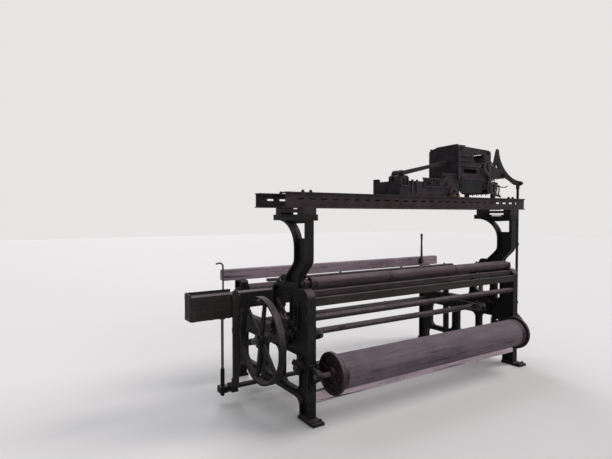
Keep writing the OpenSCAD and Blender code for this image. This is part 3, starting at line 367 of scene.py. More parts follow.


# dust sets the amount of settled dust, which also paints light on upward faces.
def metal(name, dark, light, rust, rust_cover, dust, rough, metallic, shine, rust_scale=6.0, edge=0.7):
    m, t, shader = new_finish(name, shine, metallic)
    skin = placed(t, CASTING)
    bloom = placed(t, RUST, Scale=rust_scale, Cover=rust_cover)
    worn = placed(t, EDGE, Strength=edge)
    dust_and_lit_top = placed(t, DUST_AND_TOP_LIGHT, Amount=dust)
    tone = blend_colour(t, skin["Mottle"], shade(dark), shade(light))
    rusty = blend_colour(t, bloom["Tone"], shade(rust, OLD_RUST), shade(rust))
    tone = blend_colour(t, bloom["Mask"], tone, rusty)
    tone = blend_colour(t, worn["Mask"], tone, shade(light, RUBBED_IRON))
    # Dust on upward faces, which also paints them lighter as if lit from above.
    tone = blend_colour(t, dust_and_lit_top["Mask"], tone, DUST_AND_TOP_LIGHT_COLOUR)
    covered = plus(t, bloom["Mask"], dust_and_lit_top["Mask"])
    dull = remap(t, covered, 0.0, 1.0, rough, DUSTY_ROUGHNESS)
    height = plus(t, skin["Height"], times(t, bloom["Tone"], 0.4))
    finish_with(t, shader, tone, dull, height, IRON_RELIEF)
    return m


# %% The metals of the loom
# Each row: dark tone, light tone, rust; then rust cover, dust with painted top light, roughness, metallic,
# shine.
CAST_IRON = metal("Dark cast iron", (0.0030, 0.0036, 0.0034), (0.0100, 0.0100, 0.0098),
                  (0.036, 0.021, 0.018), 0.26, 0.45, 0.55, 0.12, 0.12)
FRAME_IRON = metal("Frame casting", (0.0034, 0.0040, 0.0038), (0.0115, 0.0112, 0.0110),
                   (0.038, 0.022, 0.019), 0.32, 0.60, 0.58, 0.12, 0.12)
ROLLED_IRON = metal("Rolled iron rail", (0.0120, 0.0084, 0.0098), (0.0310, 0.0215, 0.0250),
                    (0.046, 0.024, 0.021), 0.42, 0.80, 0.60, 0.12, 0.15)
SHAFT_STEEL = metal("Turned steel", (0.030, 0.026, 0.028), (0.085, 0.073, 0.078),
                    (0.060, 0.033, 0.026), 0.35, 0.55, 0.38, 0.55, 0.40, edge=0.3)
DUSTY_CASTING = metal("Dusty casting", (0.0085, 0.0074, 0.0088), (0.0330, 0.0255, 0.0310),
                      (0.045, 0.026, 0.024), 0.30, 0.90, 0.66, 0.10, 0.12)
RUSTY_IRON = metal("Rusty iron", (0.034, 0.019, 0.015), (0.072, 0.039, 0.029), (0.115, 0.056, 0.035),
                   0.75, 0.50, 0.72, 0.10, 0.25, rust_scale=14.0)
SMALL_IRON = metal("Bolts and fittings", (0.0070, 0.0064, 0.0066), (0.0270, 0.0225, 0.0240),
                   (0.060, 0.031, 0.024), 0.48, 0.55, 0.50, 0.30, 0.22, rust_scale=20.0)

# %% [markdown]
# ## Timber and hide
# Beams, rollers and the sley are wood: dark where oil has soaked in, pale and grey where dust lies, and
# paler on upward faces with painted top light. The pickers at the sticks' ends are stiff hide. They are
# built like the metals, from the same groups, with the grain laid along each part.


# %% Timber builder
TIMBER_SHINE, CRACK_COLOUR = 0.22, (0.018, 0.013, 0.012, 1.0)
OIL_STAIN, RUBBED_WOOD, WOOD_RELIEF, DUSTY_WOOD_ROUGHNESS = 0.5, 1.25, 0.0012, 0.95


def timber(name, dark, light, stretch, seed, dust, rough=0.72):
    m, t, shader = new_finish(name, TIMBER_SHINE)
    grain = placed(t, TIMBER, Stretch=stretch, Seed=seed)
    worn = placed(t, EDGE, Strength=0.5, Radius=0.003)
    dust_and_lit_top = placed(t, DUST_AND_TOP_LIGHT, Amount=dust, Patch_scale=5.0)
    tone = blend_colour(t, grain["Tone"], shade(dark), shade(light))
    stain = remap(t, noise(t, loom_point(t), 3.5, 5.0, 0.6), 0.40, 0.75, 0.0, 0.55)
    tone = blend_colour(t, stain, tone, shade(dark, OIL_STAIN))
    tone = blend_colour(t, worn["Mask"], tone, shade(light, RUBBED_WOOD))
    tone = blend_colour(t, grain["Crack"], tone, CRACK_COLOUR)
    # Dust on upward faces, which also paints them lighter as if lit from above.
    tone = blend_colour(t, dust_and_lit_top["Mask"], tone, DUST_AND_TOP_LIGHT_COLOUR)
    dull = remap(t, dust_and_lit_top["Mask"], 0.0, 1.0, rough, DUSTY_WOOD_ROUGHNESS)
    finish_with(t, shader, tone, dull, grain["Height"], WOOD_RELIEF)
    return m


# %% The timbers of the loom
# Each row: dark tone, light tone, stretch of the grain, seed, dust with painted top light.
ALONG_X, ALONG_Z = (1.2, 26, 26), (26, 26, 1.2)
BROWN_WOOD = timber("Oiled timber", (0.0062, 0.0058, 0.0050), (0.0210, 0.0165, 0.0150), ALONG_X, 0.0, 0.60)
ROLLER_WOOD = timber("Roller timber", (0.021, 0.0140, 0.0165), (0.066, 0.043, 0.0505), ALONG_X, 3.1, 0.80)
WARP_WOOD = timber("Pale roller", (0.054, 0.039, 0.047), (0.132, 0.098, 0.116), ALONG_X, 4.4, 0.60)
PALE_WOOD = timber("Bare plank", (0.200, 0.145, 0.168), (0.370, 0.285, 0.325), ALONG_X, 7.7, 0.40)
# The foot plank is the bare plank made paler: painted light that lifts the shade it sits in under the warp
# beam.
FOOT_WOOD_WITH_PAINTED_LIGHT = timber("Plank with painted light", (0.330, 0.255, 0.285), (0.560, 0.460, 0.505), ALONG_X, 9.2, 0.35)
STICK_WOOD = timber("Stick timber", (0.0130, 0.0100, 0.0094), (0.0400, 0.0300, 0.0285), ALONG_Z, 1.7, 0.45)
HIDE = timber("Rawhide", (0.016, 0.0100, 0.0082), (0.046, 0.027, 0.021), (9, 9, 9), 5.0, 0.35, 0.58)

# %% [markdown]
# ## Finishes for the CAD nodes
# The CAD castings, shafts and boards have the right shapes, so each keeps its mesh and gets the finish
# of its real part. A node's material is swapped in its slot, and the mesh itself is left alone.

# %% Dress the CAD nodes
DRESSED = (
    (FRAME_IRON, "left_side_frame right_side_frame left_front_frame right_front_frame left_arch_post "
                 "right_arch_post handwheel"),
    (ROLLED_IRON, "rail_packings near_top_rail far_top_rail back_angle_rail back_tube warp_beam_flanges "
                  "take_up_roller lever_arm drive_rod"),
    (SHAFT_STEEL, "crankshaft bottom_shaft drop_box_rod jack_shaft"),
    (SMALL_IRON, "frame_bolts rail_bolts starting_handle raised_jacks lowered_jacks"),
    (DUSTY_CASTING, "dobby_bed dobby_end_frame"),
    (BROWN_WOOD, "back_board_rail front_foot_rail sley_beam drop_box right_shuttle_box cloth_roller "
                 "pattern_cylinder"),
    (ROLLER_WOOD, "race_board sley_cap back_rest_roller"), (WARP_WOOD, "warp_beam"),
    (PALE_WOOD, "breast_beam"), (FOOT_WOOD_WITH_PAINTED_LIGHT, "back_foot_rail"),
    (STICK_WOOD, "left_picking_stick right_picking_stick"), (HIDE, "left_picker right_picker"),
)
FINISH = {name: finish for finish, names in DRESSED for name in names.split()}
for node_name, node in nodes.items():
    node.data.materials.clear()
    node.data.materials.append(FINISH.get(node_name, CAST_IRON))
print("dressed", len(nodes), "nodes;", len(nodes) - len(FINISH), "in plain cast iron")

# %% [markdown]
# ## Small parts drawn as solids
# Straps, caps, hooks and levers each have a shape of their own. A few helpers draw them all: an outline
# pushed along an axis, a block, a turned rod between two points, a band round a shaft and a round section
# carried along a path. Edges are eased by a millimetre or two, because a real edge catches a line of light.

# %% Helpers for solids
PLACE = {"x": lambda a, b, c: (c, a, b), "y": lambda a, b, c: (a, c, b), "z": lambda a, b, c: (a, b, c)}


def ease_edges(bm, edges, width):
    if width:
        bmesh.ops.bevel(bm, geom=list(edges), offset=width, segments=2, affect="EDGES", clamp_overlap=True)


def wrap(bm, here, there):
    """Four-sided faces between two rings of corners."""
    n = len(here)
    return [bm.faces.new((here[i], here[(i + 1) % n], there[(i + 1) % n], there[i])) for i in range(n)]


def add_plate(bm, axis, outline, low, high, ease=0.0015):
    """Pushes a closed outline along an axis, from low to high."""
    ends = [[bm.verts.new(PLACE[axis](a, b, c)) for a, b in outline] for c in (low, high)]
    faces = [bm.faces.new(end) for end in ends] + wrap(bm, *ends)
    bmesh.ops.recalc_face_normals(bm, faces=faces)
    ease_edges(bm, {edge for face in faces[:2] for edge in face.edges}, ease)


def add_block(bm, low, high, ease):
    made = bmesh.ops.create_cube(bm, size=1.0)["verts"]
    for v in made:
        v.co = Vector([lo + (c + 0.5) * (hi - lo) for lo, c, hi in zip(low, v.co, high)])
    ease_edges(bm, {edge for v in made for edge in v.link_edges}, ease)


def add_rod(bm, start, end, radius, sides=24, ease=0.001):
    a, b = Vector(start), Vector(end)
    place = Matrix.Translation((a + b) / 2) @ (b - a).to_track_quat("Z", "Y").to_matrix().to_4x4()
    made = bmesh.ops.create_cone(bm, cap_ends=True, segments=sides, radius1=radius, radius2=radius,
                                 depth=(b - a).length, matrix=place)["verts"]
    caps = [f for f in {f for v in made for f in v.link_faces} if len(f.verts) == sides]
    ease_edges(bm, {edge for face in caps for edge in face.edges}, ease)


def add_band(bm, start, end, inner, outer, sides, ease):
    """A ring of rectangular section round the line from start to end, with eased outer corners."""
    a, b = Vector(start), Vector(end)
    turn = (b - a).to_track_quat("Z", "Y")
    long = (b - a).length
    profile = [(inner, 0.0), (outer - ease, 0.0), (outer, ease), (outer, long - ease), (outer - ease, long),
               (inner, long)]
    rings = []
    for k in range(sides):
        w = 2 * math.pi * k / sides
        rings.append([bm.verts.new(a + turn @ Vector((r * math.cos(w), r * math.sin(w), h)))
                      for r, h in profile])
    faces = [face for k in range(sides) for face in wrap(bm, rings[k], rings[(k + 1) % sides])]
    bmesh.ops.recalc_face_normals(bm, faces=faces)


def add_sweep(bm, points, radius, sides, flat=1.0, guide=(0, 1, 0)):
    """Carries a round or flattened section along a path that lies across the guide direction."""
    path, side = [Vector(p) for p in points], Vector(guide).normalized()
    rings = []
    for i, p in enumerate(path):
        ahead = (path[min(i + 1, len(path) - 1)] - path[max(i - 1, 0)]).normalized()
        lift = ahead.cross(side).normalized()
        rings.append([bm.verts.new(p + side * (radius * flat * math.cos(w)) + lift * (radius * math.sin(w)))
                      for w in (2 * math.pi * k / sides for k in range(sides))])
    faces = [bm.faces.new(rings[0]), bm.faces.new(rings[-1])]
    for here, there in zip(rings, rings[1:]):
        faces += wrap(bm, here, there)
    bmesh.ops.recalc_face_normals(bm, faces=faces)


# %% From mesh to finished piece
SMOOTH_UP_TO, SMOOTH_FASTENER = 38, 30


def settled(name, mesh, material, body, angle=SMOOTH_UP_TO):
    """Gives a mesh its finish and smooth rounds, and makes it ride on its body."""
    mesh.materials.clear()
    mesh.materials.append(material)
    mesh.polygons.foreach_set("use_smooth", [True] * len(mesh.polygons))
    mesh.set_sharp_from_angle(angle=math.radians(angle))
    piece = bpy.data.objects.new(name, mesh)
    scene.collection.objects.link(piece)
    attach(piece, body)
    print(f"{name}: {len(mesh.polygons)} faces on {body}")


def piece_of(bm, name, material, body):
    mesh = bpy.data.meshes.new(name)
    bm.to_mesh(mesh)
    bm.free()
    settled(name, mesh, material, body)


def arc(cy, cz, radius, start, stop, steps=14):
    """Points of an arc, in degrees."""
    turns = [math.radians(start + (stop - start) * k / steps) for k in range(steps + 1)]
    return [(cy + radius * math.cos(w), cz + radius * math.sin(w)) for w in turns]


# %% [markdown]
# ## Hex nuts from one node tree
# A loom is bolted together with the same six-sided nut, washer and stud in many sizes. A point cloud with
# an axis and a size on each point says where they go, and one Geometry Nodes tree puts a nut on each. One
# mesh is kept for each body, so a nut on a swinging part swings with it.


# %% Helper for geometry trees
def geometry_tree(name, inputs):
    tree = bpy.data.node_groups.new(name, "GeometryNodeTree")
    tree.interface.new_socket("Geometry", in_out="INPUT", socket_type="NodeSocketGeometry")
    name_inputs(tree, inputs)
    tree.interface.new_socket("Geometry", in_out="OUTPUT", socket_type="NodeSocketGeometry")
    return tree, tree.nodes.new("NodeGroupInput").outputs, tree.nodes.new("NodeGroupOutput")


def live(sockets, name):
    """The socket of that name that is in use: some nodes keep one for each data type."""
    return next(s for s in sockets if s.name == name and s.enabled)


def grown(name, mesh, tree, material, body, values, angle=SMOOTH_UP_TO):
    """Runs a tree on a mesh and keeps its result as a plain piece."""
    holder = bpy.data.objects.new(name + "_holder", mesh)
    scene.collection.objects.link(holder)
    modifier = holder.modifiers.new(tree.name, "NODES")
    modifier.node_group = tree
    wanted = dict(values, Finish=material)
    for socket in tree.interface.items_tree:
        if socket.item_type == "SOCKET" and socket.in_out == "INPUT" and socket.name in wanted:
            modifier[socket.identifier] = wanted[socket.name]
    depsgraph = bpy.context.evaluated_depsgraph_get()
    made = bpy.data.meshes.new_from_object(holder.evaluated_get(depsgraph))
    made.name = name
    holder.modifiers.clear()
    bpy.data.objects.remove(holder)
    settled(name, made, material, body, angle)


def close_tree(t, spread, into, out):
    """Every tree ends the same way: real copies, with their finish."""
    real = feed(t, put(t, "GeometryNodeRealizeInstances"), Geometry=spread.outputs[0])
    done = feed(t, put(t, "GeometryNodeSetMaterial"), Geometry=real.outputs[0],
                Material=into["Finish"])
    feed(t, out, n0=done.outputs[0])
    return t


# %% Trees that set a fastener on each point
def scatter_tree(name, inputs, build):
    """Each point carries an axis and a size; build adds the fastener's parts, one unit wide."""
    t, into, out = geometry_tree(name, {**inputs, "Finish": None})
    parts = put(t, "GeometryNodeJoinGeometry")
    build(t, into, parts)
    axis, size = (feed(t, put(t, "GeometryNodeInputNamedAttribute", data_type=kind), Name=label)
                  for kind, label in (("FLOAT_VECTOR", "axis"), ("FLOAT", "size")))
    aimed = feed(t, put(t, "FunctionNodeAlignRotationToVector", axis="Z"),
                 Vector=live(axis.outputs, "Attribute"))
    spread = feed(t, put(t, "GeometryNodeInstanceOnPoints"), Points=into["Geometry"],
                  Instance=parts.outputs[0], Rotation=aimed.outputs[0], Scale=live(size.outputs, "Attribute"))
    return close_tree(t, spread, into, out)


def nut_parts(t, into, parts):
    """Washer, six-sided nut, its rounded crown and the end of the stud."""
    for sides, radius, height in ((20, into["Washer radius"], into["Washer height"]),
                                  (6, 1.0, into["Nut height"]),
                                  (18, 0.88, plus(t, into["Nut height"], 0.07)),
                                  (12, into["Stud radius"], into["Stud height"])):
        drum = feed(t, put(t, "GeometryNodeMeshCylinder"), Vertices=sides, Radius=radius, Depth=height)
        raised = feed(t, put(t, "ShaderNodeCombineXYZ"), Z=times(t, height, 0.5))
        lifted = feed(t, put(t, "GeometryNodeTransform"), Geometry=drum.outputs["Mesh"],
                      Translation=raised.outputs[0])
        feed(t, parts, n0=lifted.outputs[0])


def head_parts(t, into, parts):
    """A flattened ball, sunk to its middle in the wood."""
    ball = feed(t, put(t, "GeometryNodeMeshUVSphere"), Segments=12, Rings=8, Radius=1.0)
    squeeze = feed(t, put(t, "ShaderNodeCombineXYZ"), X=1.0, Y=1.0, Z=into["Dome"])
    flat = feed(t, put(t, "GeometryNodeTransform"), Geometry=ball.outputs["Mesh"], Scale=squeeze.outputs[0])
    feed(t, parts, n0=flat.outputs[0])


BOLTS = scatter_tree("Hex bolts", {"Washer radius": 1.3, "Washer height": 0.2, "Nut height": 0.95,
                                   "Stud radius": 0.48, "Stud height": 1.45}, nut_parts)
NAILS = scatter_tree("Round heads", {"Dome": 0.45}, head_parts)


def fasteners(tree, name, rows, body, material, values):
    mesh = bpy.data.meshes.new(name + "_points")
    mesh.from_pydata([tuple(place) for place, _, _ in rows], [], [])
    mesh.attributes.new("axis", "FLOAT_VECTOR", "POINT")
    mesh.attributes.new("size", "FLOAT", "POINT")
    mesh.attributes["axis"].data.foreach_set("vector", [c for _, way, _ in rows for c in way])
    mesh.attributes["size"].data.foreach_set("value", [half for _, _, half in rows])
    grown(name, mesh, tree, material, body, values, SMOOTH_FASTENER)


def bolts(name, rows, body, material=SMALL_IRON):
    """rows holds (place, axis, size); size is half the width of the nut, corner to corner."""
    fasteners(BOLTS, name, rows, body, material, {})


def nails(name, rows, body, dome=0.45):
    fasteners(NAILS, name, rows, body, SMALL_IRON, {"Dome": dome})


# %% Tree: a row of copies
def row_tree():
    t, into, out = geometry_tree("Row of copies", {
        "Count": 8, "Start": (0, 0, 0), "Step": (0, 0.02, 0), "Tilt": 0.0, "Seed": 3, "Finish": None})
    line = feed(t, put(t, "GeometryNodeMeshLine"), Count=into["Count"],
                Start_Location=into["Start"], Offset=into["Step"])
    chance = put(t, "FunctionNodeRandomValue", data_type="FLOAT")
    t.links.new(times(t, into["Tilt"], -1.0), live(chance.inputs, "Min"))
    t.links.new(into["Tilt"], live(chance.inputs, "Max"))
    t.links.new(into["Seed"], live(chance.inputs, "Seed"))
    lean = feed(t, put(t, "ShaderNodeCombineXYZ"), Y=live(chance.outputs, "Value"))
    spread = feed(t, put(t, "GeometryNodeInstanceOnPoints"), Points=line.outputs[0],
                  Instance=into["Geometry"], Rotation=lean.outputs[0])
    return close_tree(t, spread, into, out)


ROWS = row_tree()


def row(bm, name, material, slot, body, **values):
    """Repeats a small shape, drawn round its own pivot, along a line."""
    mesh = bpy.data.meshes.new(name + "_one")
    bm.to_mesh(mesh)
    bm.free()
    grown(name, mesh, ROWS, material, body, values)


print("geometry trees:", [tree.name for tree in (BOLTS, NAILS, ROWS)])

# %% [markdown]
# ## Side frames: caps, straps and nuts
# The shafts run in bearings whose caps lift off, each held by two studs and fed by an oil cup. Bolted
# straps cross the joint between the high and the low half of each frame. The nuts of the cross rails show
# on the webs. Each cap is a half ring with two lugs, drawn as one outline and pushed along the shaft.

# %% Places on the side frames
FRAME_X, WEB_X, JOINT_Y = 1.225, 1.233, -0.090
WEB_Y0, WEB_Y1 = -0.488, 0.716
CRANK_Y, CRANK_Z = -0.190, 0.557
SHAFTS = ((CRANK_Y, CRANK_Z, 0.062), (-0.380, 0.364, 0.052))  # crank and bottom shaft, with boss radius
SIDES = (-1, 1)
UP, NEAR, AWAY, LEFT, RIGHT = (0, 0, 1), (0, -1, 0), (0, 1, 0), (-1, 0, 0), (1, 0, 0)


def span(side, inner, outer):
    """Both ends along X of a piece on the left (-1) or right (1) side, the lower one first."""
    return sorted((side * inner, side * outer))


# %% Bearing caps and oil cups
CAP_HALF, CAP_WALL, LUG_REACH, LUG_TOP = 0.030, 0.013, 0.046, 0.024
caps, cap_nuts = bmesh.new(), []
for side in SIDES:
    for cy, cz, boss in SHAFTS:
        out_r, lug, top, mid = boss + CAP_WALL, boss + LUG_REACH, cz + LUG_TOP, side * FRAME_X
        shape = [(cy - lug, cz), (cy - lug, top), (cy - out_r + 0.003, top)]
        shape += arc(cy, cz, out_r, 158, 22) + [(cy + out_r - 0.003, top), (cy + lug, top), (cy + lug, cz)]
        shape += arc(cy, cz, boss + 0.0005, 180, 0)[::-1]
        add_plate(caps, "x", shape, *span(side, FRAME_X - CAP_HALF, FRAME_X + CAP_HALF))
        add_block(caps, (mid - 0.026, cy - 0.034, cz + out_r - 0.006),
                  (mid + 0.026, cy + 0.034, cz + out_r + 0.022), 0.003)
        add_rod(caps, (mid, cy, cz + out_r + 0.020), (mid, cy, cz + out_r + 0.036), 0.013, 20, 0.003)
        cap_nuts += [((mid + dx, cy + way * (lug - 0.014), top), UP, 0.012)
                     for way in SIDES for dx in (0.016, -0.016)]
piece_of(caps, "bearing_caps", FRAME_IRON, "frame")

# %% Straps over the frame joint
STRAP_THICK = 0.010
straps, strap_nuts = bmesh.new(), []
for side in SIDES:
    x0, x1 = span(side, WEB_X, WEB_X + STRAP_THICK)
    for y0, y1, z0, z1 in ((JOINT_Y - 0.074, JOINT_Y + 0.074, 0.469, 0.511), (0.030, 0.074, 0.452, 0.600)):
        add_block(straps, (x0, y0, z0), (x1, y1, z1), 0.002)
        level = y1 - y0 > z1 - z0
        for k in (0.13, 0.37, 0.63, 0.87):
            y = y0 + k * (y1 - y0) if level else (y0 + y1) / 2
            z = (z0 + z1) / 2 if level else z0 + k * (z1 - z0)
            strap_nuts.append(((side * (WEB_X + STRAP_THICK), y, z), (side, 0, 0), 0.012))
piece_of(straps, "joint_straps", ROLLED_IRON, "frame")

# %% Nuts of the cross rails
rail_nuts = []
for side in SIDES:
    for name, count in (("back_tube", 1), ("back_board_rail", 1),
                        ("back_foot_rail", 2), ("front_foot_rail", 2)):
        low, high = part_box(name)
        for k in range(count):
            y = min(max((low[1] + high[1]) / 2, WEB_Y0), WEB_Y1)
            z = low[2] + (k + 0.5) / count * (high[2] - low[2])
            rail_nuts.append(((side * WEB_X, y, z), (side, 0, 0), 0.017))
bolts("frame_nuts", cap_nuts + strap_nuts + rail_nuts, "frame")

# %% [markdown]
# ## Stop lever and catch on the left frame
# Seen through the frame's upper opening is a flat lever that slants down to a catch beside the crank. A
# flat bar with rounded ends is a plate between two arcs, and its pin is a short rod through both.

# %% Stop lever
lever_bar = bmesh.new()
a, b = (-0.070, 0.828), (-0.214, 0.737)
lean = math.degrees(math.atan2(b[1] - a[1], b[0] - a[0]))
shape = arc(a[0], a[1], 0.013, lean + 90, lean + 270, 8) + arc(b[0], b[1], 0.010, lean - 90, lean + 90, 8)
add_plate(lever_bar, "x", shape, -1.262, -1.254)
for (y, z), pin in ((a, 0.008), (b, 0.006)):
    add_rod(lever_bar, (-1.266, y, z), (-FRAME_X, y, z), pin)
for y0, y1, z0, z1 in ((-0.222, -0.194, 0.722, 0.750), (-0.084, -0.056, 0.812, 0.842)):
    add_block(lever_bar, (-1.250, y0, z0), (-1.226, y1, z1), 0.003)
piece_of(lever_bar, "stop_lever", ROLLED_IRON, "frame")

# %% [markdown]
# ## Dobby: front castings, comb and hooks
# The dobby lifts the heald shafts. Its near side is a stack of dusty castings, its jacks slide in a comb
# and end in a fan of feeler hooks over the pegged barrel. The comb blades and the hooks repeat at a fixed
# pitch, so each is drawn once and a tree makes the row; the hooks get a small seeded lean so that none lie
# alike.

# %% Places in the dobby
BED_Y0, BED_Y1, RAIL_TOP = -0.480, -0.150, 1.6665
WALL_X, WALL_TOP, PLATE_END = 0.370, 2.144, 0.860
CYL_X, CYL_Z, JACK_Y0, JACK_STEP = 0.874, 1.738, -0.414, 0.018
HOOK_X, HOOK_Z, PAWL_Y = 0.956, 1.803, -0.497


def add_relief(bm, x0, x1, z0, z1, height, ease=0.002):
    """A bar that stands out from the dobby's near face and is sunk a millimetre into it."""
    add_block(bm, (x0, BED_Y0 - height, z0), (x1, BED_Y0 + 0.001, z1), ease)


# %% Window frame, clamp and rusty foot on the near side
cast = bmesh.new()
for x0, x1, z0, z1, height in (
        (-0.331, -0.240, 1.738, 1.750, 0.014), (-0.331, -0.240, 1.806, 1.818, 0.014),
        (-0.331, -0.318, 1.740, 1.816, 0.013), (-0.292, -0.280, 1.740, 1.816, 0.013),
        (-0.253, -0.240, 1.740, 1.816, 0.013), (-0.205, -0.183, 1.688, 1.800, 0.010),
        (-0.150, -0.128, 1.688, 1.800, 0.010)):
    add_relief(cast, x0, x1, z0, z1, height)
for k in range(7):
    x = -0.060 + 0.034 * k
    add_relief(cast, x, x + 0.012, 1.752, 1.808, 0.007)
for z0, z1 in ((1.806, 1.822), (1.738, 1.751)):
    add_relief(cast, -0.070, 0.190, z0, z1, 0.009)
piece_of(cast, "near_side_castings", DUSTY_CASTING, "frame")

foot = bmesh.new()
shape = [(0.268, RAIL_TOP), (0.372, RAIL_TOP), (0.372, 1.700), (0.346, 1.744), (0.294, 1.744), (0.268, 1.700)]
add_plate(foot, "y", shape, BED_Y0 - 0.016, BED_Y0 + 0.002, 0.002)
add_block(foot, (0.256, BED_Y0 - 0.030, RAIL_TOP), (0.384, BED_Y0 + 0.002, 1.680), 0.002)
piece_of(foot, "rusty_foot", RUSTY_IRON, "frame")

# %% Slide bars and guard on the near plate
bars = bmesh.new()
for z, x1 in ((2.036, 0.585), (1.992, 0.600), (1.945, 0.650)):
    add_relief(bars, WALL_X + 0.020, x1, z, z + 0.015, 0.012)
add_relief(bars, WALL_X + 0.004, WALL_X + 0.036, 1.824, WALL_TOP - 0.030, 0.014, 0.003)
add_relief(bars, WALL_X + 0.004, PLATE_END - 0.100, 1.824, 1.842, 0.010)
piece_of(bars, "slide_bars", DUSTY_CASTING, "frame")

guard = bmesh.new()
shape = [(0.412, 1.702), (0.700, 1.702), (0.720, 1.722), (0.720, 1.800), (0.708, 1.812), (0.412, 1.812)]
add_plate(guard, "y", shape, BED_Y0 - 0.006, BED_Y0 - 0.002, 0.001)
for x in (0.430, 0.560, 0.700):
    add_rod(guard, (x, BED_Y0 - 0.003, 1.780), (x, BED_Y0 + 0.001, 1.780), 0.010, 16)
piece_of(guard, "chain_guard", CAST_IRON, "frame")

# %% Comb blades between the jacks
blade = bmesh.new()
shape = [(0.800, 1.862), (0.846, 1.862), (0.850, 2.050), (0.838, 2.068), (0.812, 2.068), (0.800, 2.050)]
add_plate(blade, "y", shape, -0.0015, 0.0015, 0.0006)
row(blade, "comb_blades", SMALL_IRON, "worn_steel", "frame", Count=13, Start=(0, JACK_Y0 - JACK_STEP / 2, 0),
    Step=(0, JACK_STEP, 0))
comb = bmesh.new()
for z in (1.846, 2.060):
    add_block(comb, (0.796, BED_Y0 + 0.010, z), (0.854, BED_Y1 - 0.010, z + 0.018), 0.002)
piece_of(comb, "comb_bars", CAST_IRON, "frame")

# %% Feeler hooks over the barrel
hook = bmesh.new()
bend = ((-0.030, -0.036), (-0.022, -0.020), (-0.008, -0.006), (0.004, 0.014), (0.008, 0.040),
        (0.016, 0.062), (0.032, 0.070), (0.044, 0.060), (0.046, 0.046))
add_sweep(hook, [(x, 0, z) for x, z in bend], 0.0052, 8, 0.55)
add_rod(hook, (0, -0.004, 0), (0, 0.004, 0), 0.011, 14, 0.001)
row(hook, "feeler_hooks", SMALL_IRON, "worn_steel", "frame", Count=14, Start=(HOOK_X, -0.446, HOOK_Z),
    Step=(0, 0.0202, 0), Tilt=0.20, Seed=11)
hang = bmesh.new()
bend = ((0.0, 0.0), (0.010, -0.022), (0.030, -0.040), (0.036, -0.066), (0.024, -0.086), (0.008, -0.084))
add_sweep(hang, [(x, 0, z) for x, z in bend], 0.0058, 8, 0.6)
row(hang, "lower_hooks", SMALL_IRON, "worn_steel", "frame", Count=10, Start=(0.950, -0.456, HOOK_Z),
    Step=(0, 0.029, 0), Tilt=0.26, Seed=5)
carrier = bmesh.new()
add_rod(carrier, (HOOK_X, BED_Y0 - 0.006, HOOK_Z), (HOOK_X, BED_Y1 + 0.006, HOOK_Z), 0.0065)
for y0 in (BED_Y0, BED_Y1 - 0.012):
    add_plate(carrier, "y", [(0.915, 1.750), (0.936, 1.742), (0.972, 1.790), (0.972, 1.816), (0.940, 1.818),
                             (0.915, 1.800)], y0, y0 + 0.012)
piece_of(carrier, "hook_carrier", CAST_IRON, "frame")

# %% Fan of jack levers outside the near plate
fan = bmesh.new()
hub_x, hub_z, fan_y = 0.806, 1.868, BED_Y0 - 0.012
for k in range(7):
    lean = math.radians(64 + 15.5 * k)
    reach, y = 0.148 - 0.009 * abs(k - 2), fan_y - 0.0052 * (k % 3)
    along = Vector((math.cos(lean), 0, math.sin(lean)))
    across = Vector((math.sin(lean), 0, -math.cos(lean)))
    root = Vector((hub_x, y, hub_z))
    path = [root + along * (reach * a) + across * (reach * b) for a, b in
            ((0.04, 0.0), (0.40, 0.03), (0.78, 0.0), (0.92, 0.05), (0.97, 0.16), (0.90, 0.26))]
    add_sweep(fan, path, 0.0105, 8, 0.28)
add_rod(fan, (hub_x, fan_y - 0.018, hub_z), (hub_x, BED_Y0 + 0.001, hub_z), 0.016, 20)
for k in range(6):
    x, z = 0.792 + 0.031 * k, 1.812 - 0.007 * k
    y = fan_y - 0.0095 - 0.0052 * (k % 2)
    bend = ((0.0, 0.0), (0.010, 0.034), (-0.004, 0.066), (0.012, 0.094), (0.034, 0.098))
    add_sweep(fan, [(x + dx, y, z - drop) for dx, drop in bend], 0.0120, 8, 0.30)
    add_rod(fan, (x, y - 0.004, z), (x, y + 0.004, z), 0.0125, 14, 0.001)
add_sweep(fan, [(x, fan_y - 0.0095, z) for x, z in ((0.788, 1.813), (0.870, 1.795), (0.950, 1.777))],
          0.0070, 8, 0.8, (0, 0, 1))
for x, z in ((0.815, 1.807), (0.945, 1.778)):
    add_rod(fan, (x, fan_y - 0.010, z), (x, BED_Y0 + 0.001, z), 0.006, 14)
piece_of(fan, "lever_fan", SMALL_IRON, "frame")

# %% Pawl lever beside the barrel, and the barrel's star wheel
pawl = bmesh.new()
bend = ((0.874, 1.790), (0.930, 1.792), (1.000, 1.772), (1.075, 1.774), (1.100, 1.786))
add_sweep(pawl, [(x, PAWL_Y, z) for x, z in bend], 0.0052, 10, 0.8)
add_rod(pawl, (HOOK_X, PAWL_Y - 0.006, 1.785), (HOOK_X, BED_Y0, 1.785), 0.007)
add_plate(pawl, "y", [(0.858, 1.782), (0.886, 1.782), (0.890, 1.800), (0.862, 1.806)], -0.503, -0.491)
piece_of(pawl, "pawl_lever", SMALL_IRON, "frame")

star = bmesh.new()
POINTS, TOOTH = 8, ((0.042, 0.0), (0.038, 0.28), (0.026, 0.5), (0.038, 0.72))
shape = [(CYL_X + r * math.cos(w), CYL_Z + r * math.sin(w)) for k in range(POINTS)
         for r, w in ((r, 2 * math.pi * (k + part) / POINTS) for r, part in TOOTH)]
add_plate(star, "y", shape, -0.4905, -0.4845, 0.0008)
add_rod(star, (CYL_X, -0.4995, CYL_Z), (CYL_X, -0.4835, CYL_Z), 0.012)
piece_of(star, "star_wheel", SMALL_IRON, "cylinder")

